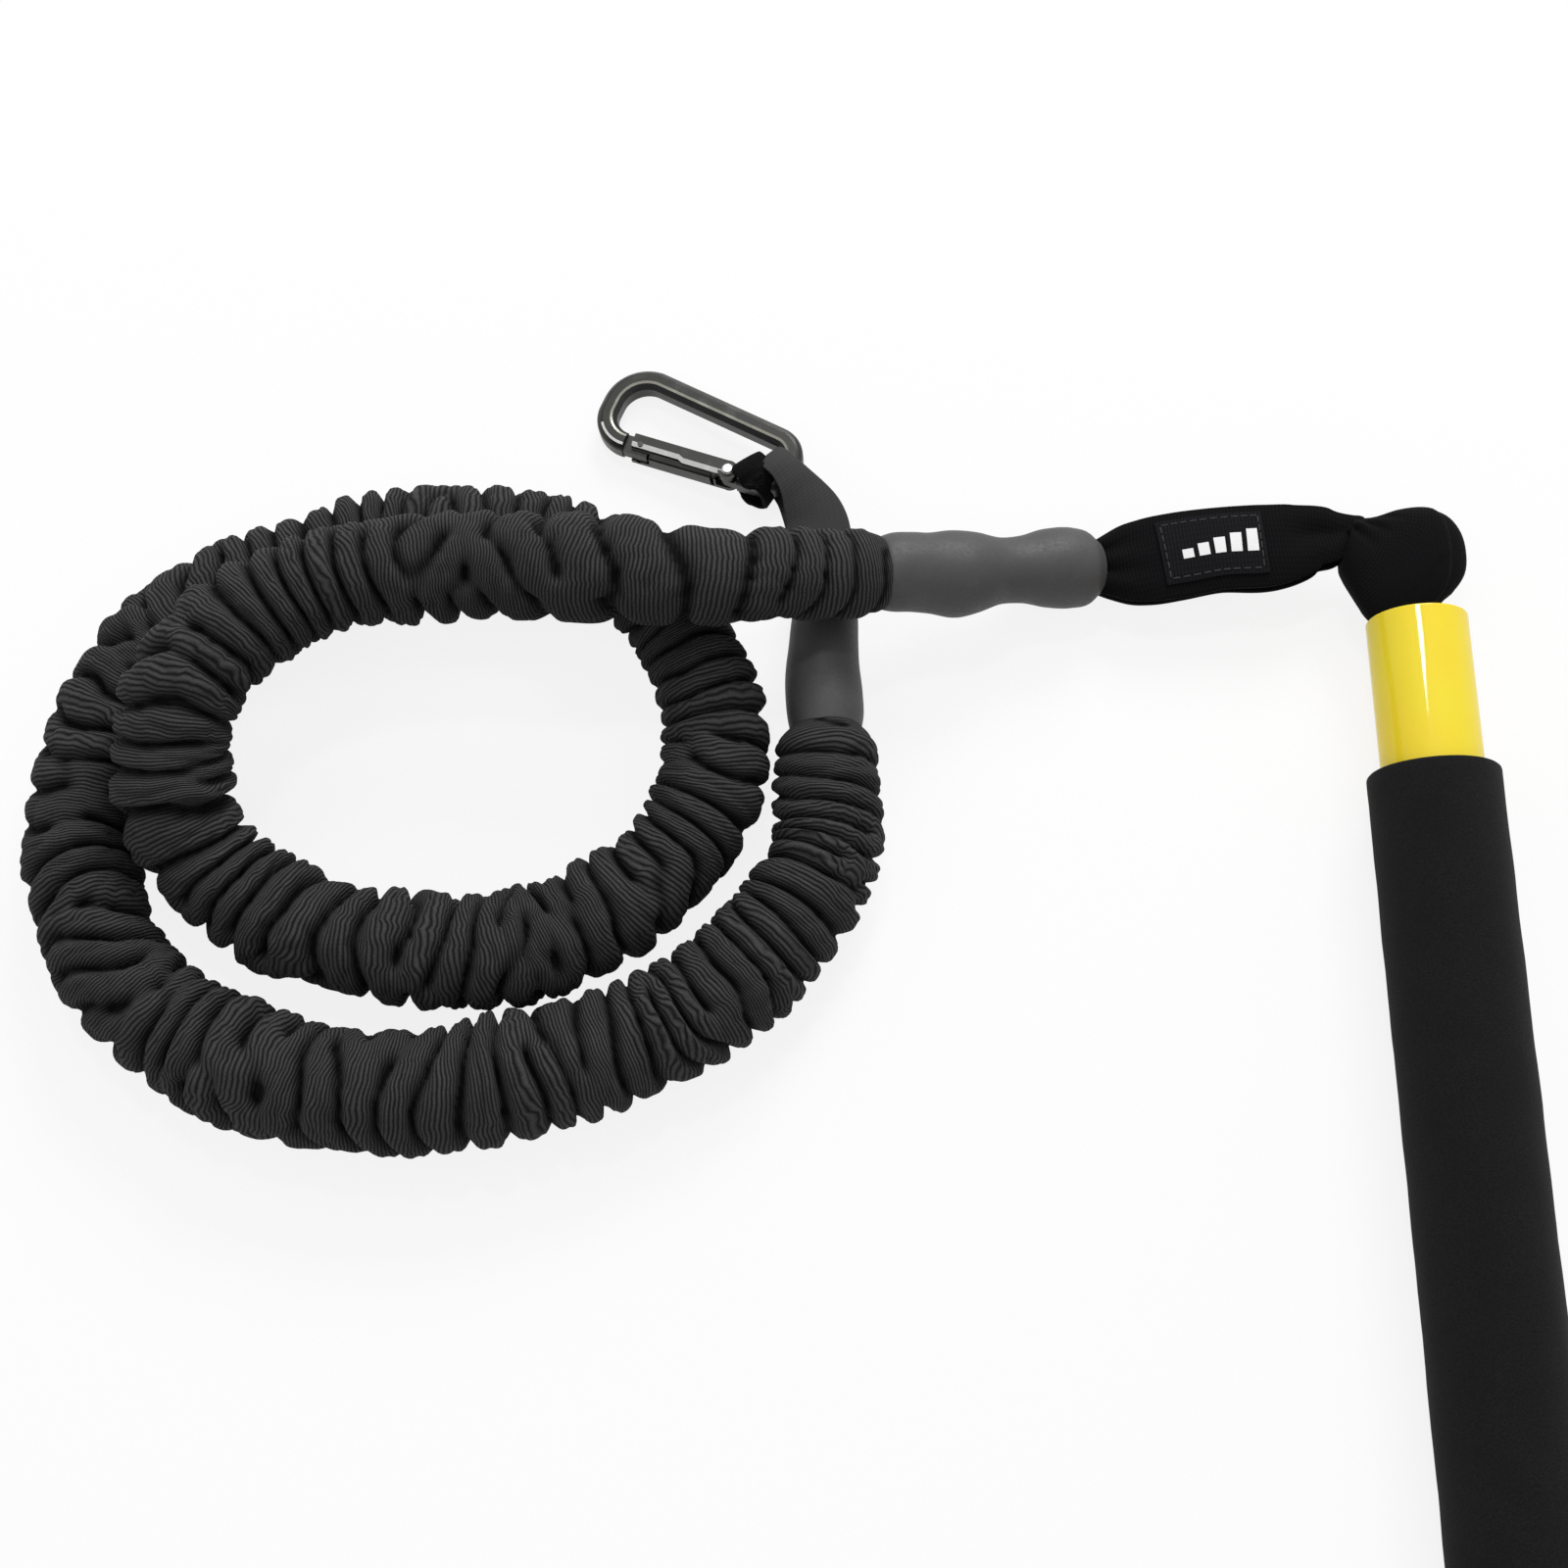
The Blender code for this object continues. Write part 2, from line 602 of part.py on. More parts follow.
def build_end_loop(parts):
    """The webbing loop: round the hitch, through the hood, into the tube, round the pin."""
    sections = []
    flat_rows = [(*inner, *outer, height, spread) for inner, outer, height, spread in HOOD_RUN]
    for in_x, in_y, out_x, out_y, height, spread in smoothed(flat_rows, HOOD_STEPS):
        near_edge = HITCH + Vector((in_x, in_y, height))
        far_edge = HITCH + Vector((out_x, out_y, height))
        across = (far_edge - near_edge).normalized()
        onward = across.cross(UP).normalized()
        half_width = (far_edge - near_edge).length / 2
        sections.append(((near_edge + far_edge) / 2, onward, UP, spread, half_width))
    down_tube = Vector((0.0, -1.0, 0.0))
    half_width = LOOP_WIDTH_IN_TUBE / 2
    mouth = Vector((0.0, MOUTH_Y, AXIS_HEIGHT))
    round_pin = PIN_RADIUS + FREE_PLAY + LOOP_THICKNESS / 2
    wide = half_width + GAP
    sections.append((mouth + down_tube * PIN_RADIUS, down_tube, UP, LOOP_SPREAD_IN_TUBE, wide))
    half_way = mouth + down_tube * PIN_DEPTH / 2
    sections.append((half_way, down_tube, UP, LOOP_SPREAD_IN_TUBE, half_width))
    sections.append((mouth + down_tube * PIN_DEPTH, down_tube, UP, round_pin, half_width))
    rings = loop_rings(sections, LOOP_THICKNESS / 2)
    band("end_loop", rings, True, "webbing_black", parts)


def build_plug(name, face, outward, parts, cutters):
    """A barbed plug in the elastic tube's end, with a bar that the strap is sewn round.
    The face is the tube's end, and outward points away from the tube."""
    outline = [
        (0.0, PLUG_DISC + GAP), (PLUG_DISC_RADIUS, PLUG_DISC + GAP), (PLUG_DISC_RADIUS, GAP),
        (ELASTIC_BORE - PLUG_BARB, GAP), (ELASTIC_BORE - PLUG_BARB, PLUG_TIP - PLUG_STEM),
        (ELASTIC_BORE - PLUG_BARB * 2, -PLUG_STEM), (0.0, -PLUG_STEM),
    ]
    plug = turned(name, outline, PLUG_STEPS, "plug_white", parts)
    point_along(plug, face, outward)
    cheek_side = PLUG_DISC_RADIUS - PLUG_CHEEK_WALL
    overlap = PLUG_DISC / 2
    cheek_size = (PLUG_CHEEK_WALL, PLUG_CHEEK_HEIGHT, PLUG_CHEEK_LENGTH + overlap)
    middle = PLUG_DISC + GAP + (PLUG_CHEEK_LENGTH - overlap) / 2
    for side in (-1.0, 1.0):
        hand = "left" if side < 0 else "right"
        cheek = block(f"{name}_cheek_{hand}", cheek_size, None, cutters)
        cheek.parent = plug
        cheek.location = (side * cheek_side, 0.0, middle)
        cut(plug, cheek, "UNION")
    bar_name = f"{name}_bar"
    bar = cylinder(bar_name, PLUG_BAR_RADIUS, cheek_side * 2, PLUG_BAR_STEPS, None, cutters)
    bar.parent = plug
    bar.location = (0.0, 0.0, PLUG_DISC + GAP + PLUG_BAR_REACH)
    bar.rotation_euler = (0.0, pi / 2, 0.0)
    cut(plug, bar, "UNION")
    return plug


def shrink_outline(shape, length):
    """The closed outline of a shrunk sleeve, its outer side from top to bottom first."""
    outer = [(radius, share * length) for share, radius in reversed(shape)]
    inner = [(radius - SHRINK_WALL, share * length) for share, radius in shape]
    return outer + inner


def build_end_fittings(side, line, runs, parts, cutters):
    """The plug, clamp ring and shrink sleeve at one end of the elastic tube."""
    at_bar = side == "bar_end"
    length = SHRINK_LENGTH_BAR if at_bar else SHRINK_LENGTH_CLIP
    shape = SHRINK_OUTLINE_BAR if at_bar else SHRINK_OUTLINE_CLIP
    face_run = length if at_bar else runs[-1] - length
    outer_end = line[0].xyz if at_bar else line[-1].xyz
    inner_face = at_length(line, runs, face_run).xyz
    outward = (outer_end - inner_face).normalized()
    sleeve = turned(
        f"shrink_sleeve_{side}", shrink_outline(shape, length), SHRINK_STEPS, "shrink_grey", parts
    )
    point_along(sleeve, inner_face, outward)
    tube_end = inner_face + outward * ELASTIC_INSERT
    build_plug(f"cord_plug_{side}", tube_end, outward, parts, cutters)
    inner = (ELASTIC_RADIUS + GAP) / cos(pi / PLUG_STEPS)
    outer = inner + CLAMP_WALL
    ring_outline = [(outer, CLAMP_WIDTH), (outer, 0.0), (inner, 0.0), (inner, CLAMP_WIDTH)]
    ring = turned(f"clamp_ring_{side}", ring_outline, PLUG_STEPS, "steel", parts)
    point_along(ring, tube_end - outward * (CLAMP_WIDTH + CLAMP_SETBACK), outward)


def build_cord(line, runs, parts, cutters):
    """The elastic tube and the gathered sleeve round it."""
    tube_start = SHRINK_LENGTH_BAR - ELASTIC_INSERT
    tube_end = runs[-1] - SHRINK_LENGTH_CLIP + ELASTIC_INSERT
    places = [p.xyz for p in evenly(line, runs, tube_start, tube_end, ELASTIC_POINTS)]
    tube = swept("elastic_tube", places, ELASTIC_RADIUS, TUBE_SIDE_STEPS, None, cutters)
    tube = as_mesh(tube, parts)
    tube.data.materials.append(finish_named("latex_tan"))
    first_way = (places[0] - places[1]).normalized()
    last_way = (places[-1] - places[-2]).normalized()
    through = [places[0] + first_way * BORE_OVERRUN, *places[1:-1]]
    through.append(places[-1] + last_way * BORE_OVERRUN)
    bore = swept("elastic_bore", through, ELASTIC_BORE, TUBE_SIDE_STEPS, None, cutters)
    cut(tube, as_mesh(bore, cutters))

    sleeve_start = SHRINK_LENGTH_BAR + GAP
    sleeve_end = runs[-1] - SHRINK_LENGTH_CLIP - GAP
    rows = evenly(line, runs, sleeve_start, sleeve_end, SLEEVE_RIBS * 2 + 1)
    weights = []
    for index, row in enumerate(rows):
        valley = SLEEVE_FOLD if index % 2 == 0 else 0.0
        weights.append(row.w - valley)
    name = "gathered_sleeve"
    ribs = [row.xyz for row in rows]
    sleeve = swept(name, ribs, 1.0, TUBE_SIDE_STEPS, None, cutters, weights)
    sleeve = as_mesh(sleeve, parts)
    sleeve.data.materials.append(finish_named("sleeve_black"))
    inside = evenly(line, runs, sleeve_start - GAP, sleeve_end + GAP, ELASTIC_POINTS)
    middle = [row.xyz for row in inside]
    hollow = swept("sleeve_bore", middle, SLEEVE_BORE, TUBE_SIDE_STEPS, None, cutters)
    cut(sleeve, as_mesh(hollow, cutters))


def build_straps(line, runs, clip_fold, clip_way, parts):
    """The two sewn strap loops of the cord and the label on the first."""
    bar_inner = at_length(line, runs, SHRINK_LENGTH_BAR).xyz
    bar_outer = line[0].xyz
    bar_way = (bar_inner - bar_outer).normalized()
    clip_inner = at_length(line, runs, runs[-1] - SHRINK_LENGTH_CLIP).xyz
    clip_outer = line[-1].xyz
    into_clip_end = (clip_inner - clip_outer).normalized()
    ply = STRAP_PLY_GAP / 2 + PLY
    gathered = STRAP_GATHER / 2
    round_bar = PLUG_BAR_RADIUS + FREE_PLAY + PLY
    to_bar = ELASTIC_INSERT + GAP + PLUG_DISC + PLUG_BAR_REACH

    def tail(length):
        depth = length - to_bar
        return [
            (0.0, ply, gathered + GAP * 2),
            (depth * STRAP_GATHERED_BY, ply, gathered),
            (depth - STRAP_PARTING, ply + GAP, gathered),
            (depth, round_bar, gathered),
        ]

    start = HITCH + UP * HITCH_HEIGHT
    away = Vector((-1.0, 0.0, 0.0))
    run = smoothed(BAR_STRAP_RUN, BAR_STRAP_STEPS)
    sections = strap_sections(run, start, away, bar_outer, bar_way, tail(SHRINK_LENGTH_BAR))
    band("strap_loop_bar_end", loop_rings(sections, PLY), True, "webbing_black", parts)

    rings = []
    lift = PLY + GAP + LABEL_THICKNESS / 2
    first, last = LABEL_RUN
    for i in range(LABEL_STEPS + 1):
        share = first + (last - first) * i / LABEL_STEPS
        middle, onward, side, spread, _ = section_at(sections, run, share)
        across = onward.cross(side).normalized()
        place = middle + side * (spread + lift)
        rings.append(ring_of(place, across, side, LABEL_WIDTH / 2, LABEL_THICKNESS / 2))
    band("strap_label", rings, False, "label_black", parts)

    run = smoothed(CLIP_STRAP_RUN, CLIP_STRAP_STEPS)
    ends = (clip_fold, clip_way, clip_outer, into_clip_end)
    sections = strap_sections(run, *ends, tail(SHRINK_LENGTH_CLIP))
    band("strap_loop_clip_end", loop_rings(sections, PLY), True, "webbing_grey", parts)


def section_at(sections, run, share):
    """A section between those listed, by its share of the free stretch."""
    shares = [row[0] for row in run]
    index = max(i for i, value in enumerate(shares) if value <= share)
    step = (share - shares[index]) / (shares[index + 1] - shares[index])
    low, high = sections[index], sections[index + 1]
    vectors = [a.lerp(b, step) for a, b in zip(low[:3], high[:3])]
    numbers = [a + (b - a) * step for a, b in zip(low[3:], high[3:])]
    return (*vectors, *numbers)


def filleted(corners, radii):
    """A line through flat corners, each rounded to its radius, with its first and last
    corner left as they are."""
    line = [corners[0]]
    for before, corner, after, radius in zip(corners, corners[1:], corners[2:], radii):
        into = (before - corner).normalized()
        out = (after - corner).normalized()
        half = acos(max(-1.0, min(1.0, into.dot(out)))) / 2
        setback = radius / tan(half)
        centre = corner + (into + out).normalized() * (radius / sin(half))
        first = corner + into * setback - centre
        last = corner + out * setback - centre
        sweep = first.angle_signed(last)
        for i in range(BEND_STEPS + 1):
            line.append(centre + Matrix.Rotation(-sweep * i / BEND_STEPS, 2) @ first)
    line.append(corners[-1])
    return line


def clip_corners():
    """The corners of the carabiner's middle line, small end at x = 0, gate side at +y."""
    small = CLIP_SMALL_WIDTH / 2
    big = CLIP_BIG_WIDTH / 2
    return (
        Vector((CLIP_LENGTH, big)), Vector((CLIP_LENGTH, -big)),
        Vector((0.0, -small)), Vector((0.0, small)),
    )


def gate_line(reach):
    """A point on the gate side's middle line at a distance along the carabiner."""
    nose_corner, _, _, hinge_corner = clip_corners()
    return hinge_corner.lerp(nose_corner, reach / CLIP_LENGTH)


def held_offset():
    """Where the strap holds the carabiner, on the arc of its small end."""
    _, _, spine_corner, hinge_corner = clip_corners()
    out = (gate_line(CLIP_LENGTH) - hinge_corner).normalized()
    into = (spine_corner - hinge_corner).normalized()
    half = acos(into.dot(out)) / 2
    centre = hinge_corner + (into + out).normalized() * (CLIP_SMALL_RADIUS / sin(half))
    return centre + Vector((cos(CLIP_HELD_ANGLE), sin(CLIP_HELD_ANGLE))) * CLIP_SMALL_RADIUS


def flat_outline(name, corners, collection):
    """A closed flat outline, as a curve."""
    data = bpy.data.curves.new(name, "CURVE")
    data.dimensions = "2D"
    edge = data.splines.new("POLY")
    edge.points.add(len(corners) - 1)
    for index, (x, y) in enumerate(corners):
        edge.points[index].co = (x, y, 0.0, 1.0)
    edge.use_cyclic_u = True
    return add_object(name, data, None, collection)


def clip_section(collection):
    """The carabiner bar's section, as a flat outline for a sweep."""
    side = CLIP_BAR_WIDTH / 2
    top = CLIP_BAR_HEIGHT / 2
    upper = [
        (side, top - CLIP_BAR_CHAMFER), (side - CLIP_BAR_CHAMFER, top),
        (CLIP_BAR_CHAMFER - side, top), (-side, top - CLIP_BAR_CHAMFER),
    ]
    lower = [(-x, -y) for x, y in upper]
    made = flat_outline("clip_section", upper + lower, collection)
    helper(made)
    return made


def build_carabiner(pivot, parts, cutters):
    """The frame with its two tangs, the gate, and what the gate holds."""
    held = held_offset()

    def local(flat, height=0.0):
        return Vector((flat.x - held.x, flat.y - held.y, height))

    nose_corner, spine_big, spine_small, hinge_corner = clip_corners()
    gate_way = (nose_corner - hinge_corner).normalized()
    rivet = gate_line(GATE_PIVOT)
    nose = gate_line(GATE_NOSE)
    end_radius = CLIP_BAR_WIDTH / 2
    nose_face = nose + gate_way * FREE_PLAY
    hinge_face = rivet - gate_way * (end_radius + FREE_PLAY)
    radii = (CLIP_NOSE_RADIUS, CLIP_SPINE_RADIUS, CLIP_SMALL_RADIUS, CLIP_SMALL_RADIUS)
    corners = [nose_face, nose_corner, spine_big, spine_small, hinge_corner, hinge_face]
    line = filleted(corners, radii)
    data = bpy.data.curves.new("carabiner_frame", "CURVE")
    data.dimensions = "3D"
    data.bevel_mode = "OBJECT"
    data.bevel_object = clip_section(cutters)
    data.use_fill_caps = True
    spline = data.splines.new("POLY")
    spline.points.add(len(line) - 1)
    for index, flat in enumerate(line):
        spline.points[index].co = (*local(flat), 1.0)
    frame = as_mesh(add_object("carabiner_frame", data, None, cutters), parts)
    frame.data.materials.append(finish_named("clip_grey"))
    frame.parent = pivot
    gate_angle = atan2(gate_way.y, gate_way.x)

    def along_gate(name, size, centre, turn=0.0):
        piece = block(name, size, None, cutters)
        piece.parent = pivot
        piece.location = local(centre)
        piece.rotation_euler = (0.0, 0.0, gate_angle + turn)
        return piece

    sunk = CLIP_BAR_WIDTH / 2
    tang_length = sunk + end_radius + FREE_PLAY
    hinge_tang = plate("hinge_tang", TANG_WIDTH / 2, tang_length, TANG_THICKNESS, cutters)
    hinge_tang.parent = pivot
    hinge_tang.location = local(rivet)
    hinge_tang.rotation_euler = (0.0, 0.0, gate_angle + pi)
    cut(frame, hinge_tang, "UNION")
    nose_tang_length = NOSE_TANG_REACH + FREE_PLAY + sunk
    nose_middle = nose_face + gate_way * (sunk - nose_tang_length / 2)
    nose_size = (nose_tang_length, TANG_WIDTH, TANG_THICKNESS)
    cut(frame, along_gate("nose_tang", nose_size, nose_middle), "UNION")
    through = CLIP_BAR_HEIGHT * 2
    rivet_hole = cylinder("rivet_hole", RIVET_RADIUS + GAP, through, RIVET_STEPS, None, cutters)
    rivet_hole.parent = pivot
    rivet_hole.location = local(rivet)
    cut(frame, rivet_hole)
    pin_place = nose - gate_way * NOSE_PIN_SETBACK
    inward = Vector((gate_way.y, -gate_way.x))
    notch_half = NOSE_PIN_RADIUS + FREE_PLAY
    notch_length = TANG_WIDTH / 2 + notch_half
    notch_size = (notch_half * 2, notch_length * 2, TANG_THICKNESS * 2)
    notch_middle = pin_place + inward * (notch_length - notch_half)
    cut(frame, along_gate("nose_notch", notch_size, notch_middle))

    gate_pivot = bpy.data.objects.new("gate_pivot", None)
    parts.objects.link(gate_pivot)
    gate_pivot.parent = pivot
    gate_pivot.location = local(rivet)
    gate_pivot.rotation_euler = (0.0, 0.0, gate_angle)
    build_gate(gate_pivot, (nose - rivet).length, parts, cutters)

    shank = CLIP_BAR_HEIGHT / 2 + GAP
    top = shank + RIVET_HEAD_HEIGHT
    rivet_outline = [
        (0.0, top), (RIVET_HEAD_TOP, top), (RIVET_HEAD, shank), (RIVET_RADIUS, shank),
        (RIVET_RADIUS, -shank), (RIVET_HEAD, -shank), (RIVET_HEAD_TOP, -top), (0.0, -top),
    ]
    made = turned("gate_rivet", rivet_outline, RIVET_STEPS, "steel", parts)
    made.parent = pivot
    made.location = local(rivet)


def plate(name, half_width, length, thickness, collection):
    """A flat bar along X with a round end about its origin and a square one at its length."""
    corners = [(length, -half_width), (length, half_width)]
    for i in range(KNUCKLE_STEPS + 1):
        angle = pi / 2 + pi * i / KNUCKLE_STEPS
        corners.append((half_width * cos(angle), half_width * sin(angle)))
    outline = flat_outline(name, corners, collection)
    outline.data.fill_mode = "BOTH"
    outline.data.extrude = thickness / 2
    return as_mesh(outline, collection)


def build_gate(pivot, length, parts, cutters):
    """The gate, lying along its pivot's X from the rivet to the nose."""
    half_width = CLIP_BAR_WIDTH / 2
    gate = plate("gate", half_width, length, CLIP_BAR_HEIGHT, parts)
    gate.data.materials.append(finish_named("clip_grey"))
    gate.parent = pivot
    edge = gate.modifiers.new("edges", "BEVEL")
    edge.width = GATE_CHAMFER
    edge.segments = 1
    edge.limit_method = "ANGLE"
    edge.angle_limit = radians(60)

    slot = TANG_THICKNESS + 2 * FREE_PLAY
    knuckle = TANG_WIDTH / 2 + FREE_PLAY
    hinge_reach = knuckle + half_width * 2
    hinge_slot = block("hinge_slot", (hinge_reach, CLIP_BAR_WIDTH * 2, slot), None, cutters)
    hinge_slot.parent = pivot
    hinge_slot.location = (knuckle - hinge_reach / 2, 0.0, 0.0)
    cut(gate, hinge_slot)
    nose_reach = NOSE_TANG_REACH + 2 * FREE_PLAY
    nose_slot = block("nose_slot", (nose_reach * 2, CLIP_BAR_WIDTH * 2, slot), None, cutters)
    nose_slot.parent = pivot
    nose_slot.location = (length, 0.0, 0.0)
    cut(gate, nose_slot)
    through = CLIP_BAR_HEIGHT * 2
    rivet_hole = cylinder("gate_hole", RIVET_RADIUS + GAP, through, RIVET_STEPS, None, cutters)
    rivet_hole.parent = pivot
    cut(gate, rivet_hole)
    cut_gate_ledge(gate, knuckle, length - nose_reach, pivot, cutters)
    bore_end = knuckle + PLUNGER_LENGTH + SPRING_LENGTH + GAP * 3
    bore = cylinder("spring_bore", GATE_BORE_RADIUS, bore_end, RIVET_STEPS, None, cutters)
    bore.parent = pivot
    bore.location = (bore_end / 2, 0.0, 0.0)
    bore.rotation_euler = (0.0, pi / 2, 0.0)
    cut(gate, bore)

    clear = NOSE_PIN_RADIUS + GAP
    pin_hole = cylinder("nose_pin_hole", clear, through, NOSE_PIN_STEPS, None, cutters)
    pin_hole.parent = pivot
    pin_hole.location = (length - NOSE_PIN_SETBACK, 0.0, 0.0)
    cut(gate, pin_hole)
    pin = cylinder(
        "nose_pin", NOSE_PIN_RADIUS, CLIP_BAR_HEIGHT, NOSE_PIN_STEPS, "steel", parts
    )
    pin.parent = pivot
    pin.location = (length - NOSE_PIN_SETBACK, 0.0, 0.0)

    plunger_outline = [
        (0.0, PLUNGER_LENGTH), (PLUNGER_RADIUS, PLUNGER_LENGTH),
        (PLUNGER_RADIUS, PLUNGER_RADIUS / 2), (PLUNGER_RADIUS / 2, 0.0), (0.0, 0.0),
    ]
    plunger = turned("gate_plunger", plunger_outline, NOSE_PIN_STEPS, "steel", parts)
    plunger.parent = pivot
    plunger.location = (knuckle, 0.0, 0.0)
    plunger.rotation_euler = (0.0, pi / 2, 0.0)

    coil_radius = PLUNGER_RADIUS - SPRING_WIRE / 2
    travel = SPRING_LENGTH - SPRING_WIRE
    start = knuckle + PLUNGER_LENGTH + GAP + SPRING_WIRE / 2
    places = []
    for i in range(SPRING_TURNS * SPRING_TURN_POINTS + 1):
        angle = 2 * pi * i / SPRING_TURN_POINTS
        along = start + travel * i / (SPRING_TURNS * SPRING_TURN_POINTS)
        places.append((along, coil_radius * cos(angle), coil_radius * sin(angle)))
    spring = swept("gate_spring", places, SPRING_WIRE / 2, WIRE_SIDE_STEPS, "steel", parts)
    spring.parent = pivot
    turn_gap = travel / SPRING_TURNS - SPRING_WIRE
    print(f"gate spring: least gap between turns {turn_gap * 1000:.2f} mm")


def cut_gate_ledge(gate, knuckle, slot_start, pivot, cutters):
    """Cuts the ledge along the gate's outer side, wider over the half at its nose."""
    start = knuckle + GATE_LEDGE_SETBACK
    end = slot_start - GATE_LEDGE_SETBACK
    half_way = (start + end) / 2
    side = GATE_TOP_WIDTH - CLIP_BAR_WIDTH / 2
    cuts = (
        ("gate_ledge", start, side, GATE_LEDGE_HEIGHT),
        ("gate_ledge_at_nose", half_way, side - GATE_TOP_NARROWING,
         GATE_LEDGE_HEIGHT + GATE_LEDGE_STEP),
    )
    for name, first, edge, height in cuts:
        size = (end - first, CLIP_BAR_WIDTH, CLIP_BAR_HEIGHT)
        ledge = block(name, size, None, cutters)
        ledge.parent = pivot
        ledge.location = ((first + end) / 2, edge + size[1] / 2, height + size[2] / 2)
        cut(gate, ledge)


def outline_radius(shape, share):
    """A shrink sleeve's outer radius at a share of its length."""
    for (low, first), (high, second) in zip(shape, shape[1:]):
        if share <= high:
            return first + (second - first) * (share - low) / (high - low)
    return shape[-1][1]


def least_gap(line, runs):
    """The least gap of the covered cord to itself, its shrink sleeves with it."""
    spaced = []
    for i in range(int(runs[-1] / ROUTE_STEP) + 1):
        run = ROUTE_STEP * i
        place = at_length(line, runs, run).copy()
        if run < SHRINK_LENGTH_BAR:
            place.w = outline_radius(SHRINK_OUTLINE_BAR, 1 - run / SHRINK_LENGTH_BAR)
        left = runs[-1] - run
        if left < SHRINK_LENGTH_CLIP:
            place.w = outline_radius(SHRINK_OUTLINE_CLIP, 1 - left / SHRINK_LENGTH_CLIP)
        spaced.append(place)
    apart = int(NEIGHBOUR_LENGTH / ROUTE_STEP)
    least = 1.0
    where = None
    for i, one in enumerate(spaced):
        for other in spaced[i + apart:]:
            gap = (one.xyz - other.xyz).length - one.w - other.w
            if gap < least:
                least = gap
                where = (one.xyz - HITCH, other.xyz - HITCH)
    places = " and ".join(str([round(v * 1000) for v in place]) for place in where)
    print(f"gathered sleeve: least gap to itself {least * 1000:.2f} mm, at {places}")


def main():
    clear_scene()
    parts = new_collection("resistance_cord_bar")
    cutters = new_collection("cutters", hidden=True)
    build_bar(parts, cutters)
    build_end_loop(parts)
    bar_pieces = set(parts.objects)

    line = cord_line()
    runs = lengths_along(line)
    build_cord(line, runs, parts, cutters)
    for side in ("bar_end", "clip_end"):
        build_end_fittings(side, line, runs, parts, cutters)
    held_way = CLIP_HEADING + CLIP_HELD_ANGLE
    into_strap = Vector((cos(held_way), sin(held_way), 0.0))
    held = HITCH + Vector((*CLIP_HELD_PLACE, CLIP_EYE + PLY + GAP))
    build_straps(line, runs, held, into_strap, parts)

    swing = bpy.data.objects.new("cord_pivot", None)
    swing.location = HITCH
    for piece in set(parts.objects) - bar_pieces:
        piece.parent = swing
        piece.matrix_parent_inverse = Matrix.Translation(-HITCH)
    parts.objects.link(swing)

    pivot = bpy.data.objects.new("carabiner_pivot", None)
    parts.objects.link(pivot)
    pivot.parent = swing
    drop = atan2(held.z - CLIP_REST_HEIGHT, CLIP_LENGTH)
    pivot.location = held - HITCH
    pivot.rotation_euler = (0.0, drop, CLIP_HEADING)
    build_carabiner(pivot, parts, cutters)

    least_gap(line, runs)
    print(f"cord: {runs[-1] * 1000:.0f} mm from shrink sleeve to shrink sleeve")
    bpy.context.view_layer.update()
    tangent = Vector((-sin(CLIP_HELD_ANGLE), cos(CLIP_HELD_ANGLE), 0.0))
    gate_pivot = bpy.data.objects["gate_pivot"].matrix_world
    print_axis("cord", HITCH, UP)
    print_axis("carabiner", held, pivot.matrix_world.to_3x3() @ tangent)
    print_axis("gate", gate_pivot.translation, gate_pivot.to_3x3() @ UP)


def print_axis(name, place, way):
    numbers = ", ".join(f"{value:.5f}" for value in (*place, *way))
    print(f"{name} joint: place and axis {numbers}")


main()
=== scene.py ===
"""Resistance cord bar: a padded bar, its gathered cord in two turns beside it, and a carabiner.

Metres, +Z up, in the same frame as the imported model. The bar lies along Y on the floor.
"""

import json
from contextlib import contextmanager
from math import acos, atan2, ceil, cos, pi, radians, sin, tan

import bmesh
import bpy
import numpy as np
from mathutils import Matrix, Vector, noise


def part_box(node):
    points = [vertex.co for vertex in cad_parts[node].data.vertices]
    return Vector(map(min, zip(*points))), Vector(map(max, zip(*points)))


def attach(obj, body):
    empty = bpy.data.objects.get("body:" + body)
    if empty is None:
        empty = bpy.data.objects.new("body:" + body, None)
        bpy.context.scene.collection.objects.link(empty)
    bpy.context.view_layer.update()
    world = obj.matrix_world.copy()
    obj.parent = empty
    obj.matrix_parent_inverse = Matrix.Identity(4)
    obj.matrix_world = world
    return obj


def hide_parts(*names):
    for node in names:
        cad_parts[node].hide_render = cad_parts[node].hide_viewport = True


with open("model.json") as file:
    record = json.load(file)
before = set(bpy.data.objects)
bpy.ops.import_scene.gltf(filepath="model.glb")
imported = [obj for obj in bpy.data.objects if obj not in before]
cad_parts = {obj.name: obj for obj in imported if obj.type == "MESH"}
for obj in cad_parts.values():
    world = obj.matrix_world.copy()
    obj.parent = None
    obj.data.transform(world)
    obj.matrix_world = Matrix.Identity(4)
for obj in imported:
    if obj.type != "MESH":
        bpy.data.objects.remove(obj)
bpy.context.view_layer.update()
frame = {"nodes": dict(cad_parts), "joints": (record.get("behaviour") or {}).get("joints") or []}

bl_info = {
    "name": "Resistance Cord Bar",
    "version": (1, 0, 0),
    "blender": (4, 5, 0),
    "location": "View3D > Sidebar > Cord Bar",
    "description": "Models a padded bar with a gathered cord, webbing loops and a carabiner",
    "category": "Object",
}

UP = Vector((0.0, 0.0, 1.0))
JOINTS = {joint["name"]: joint for joint in frame["joints"]}


def on_bar(node):
    """The Y of a turned piece's ends, its radius and its axis height, from its box."""
    low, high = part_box(node)
    return low.y, high.y, (high.x - low.x) / 2, (high.z + low.z) / 2


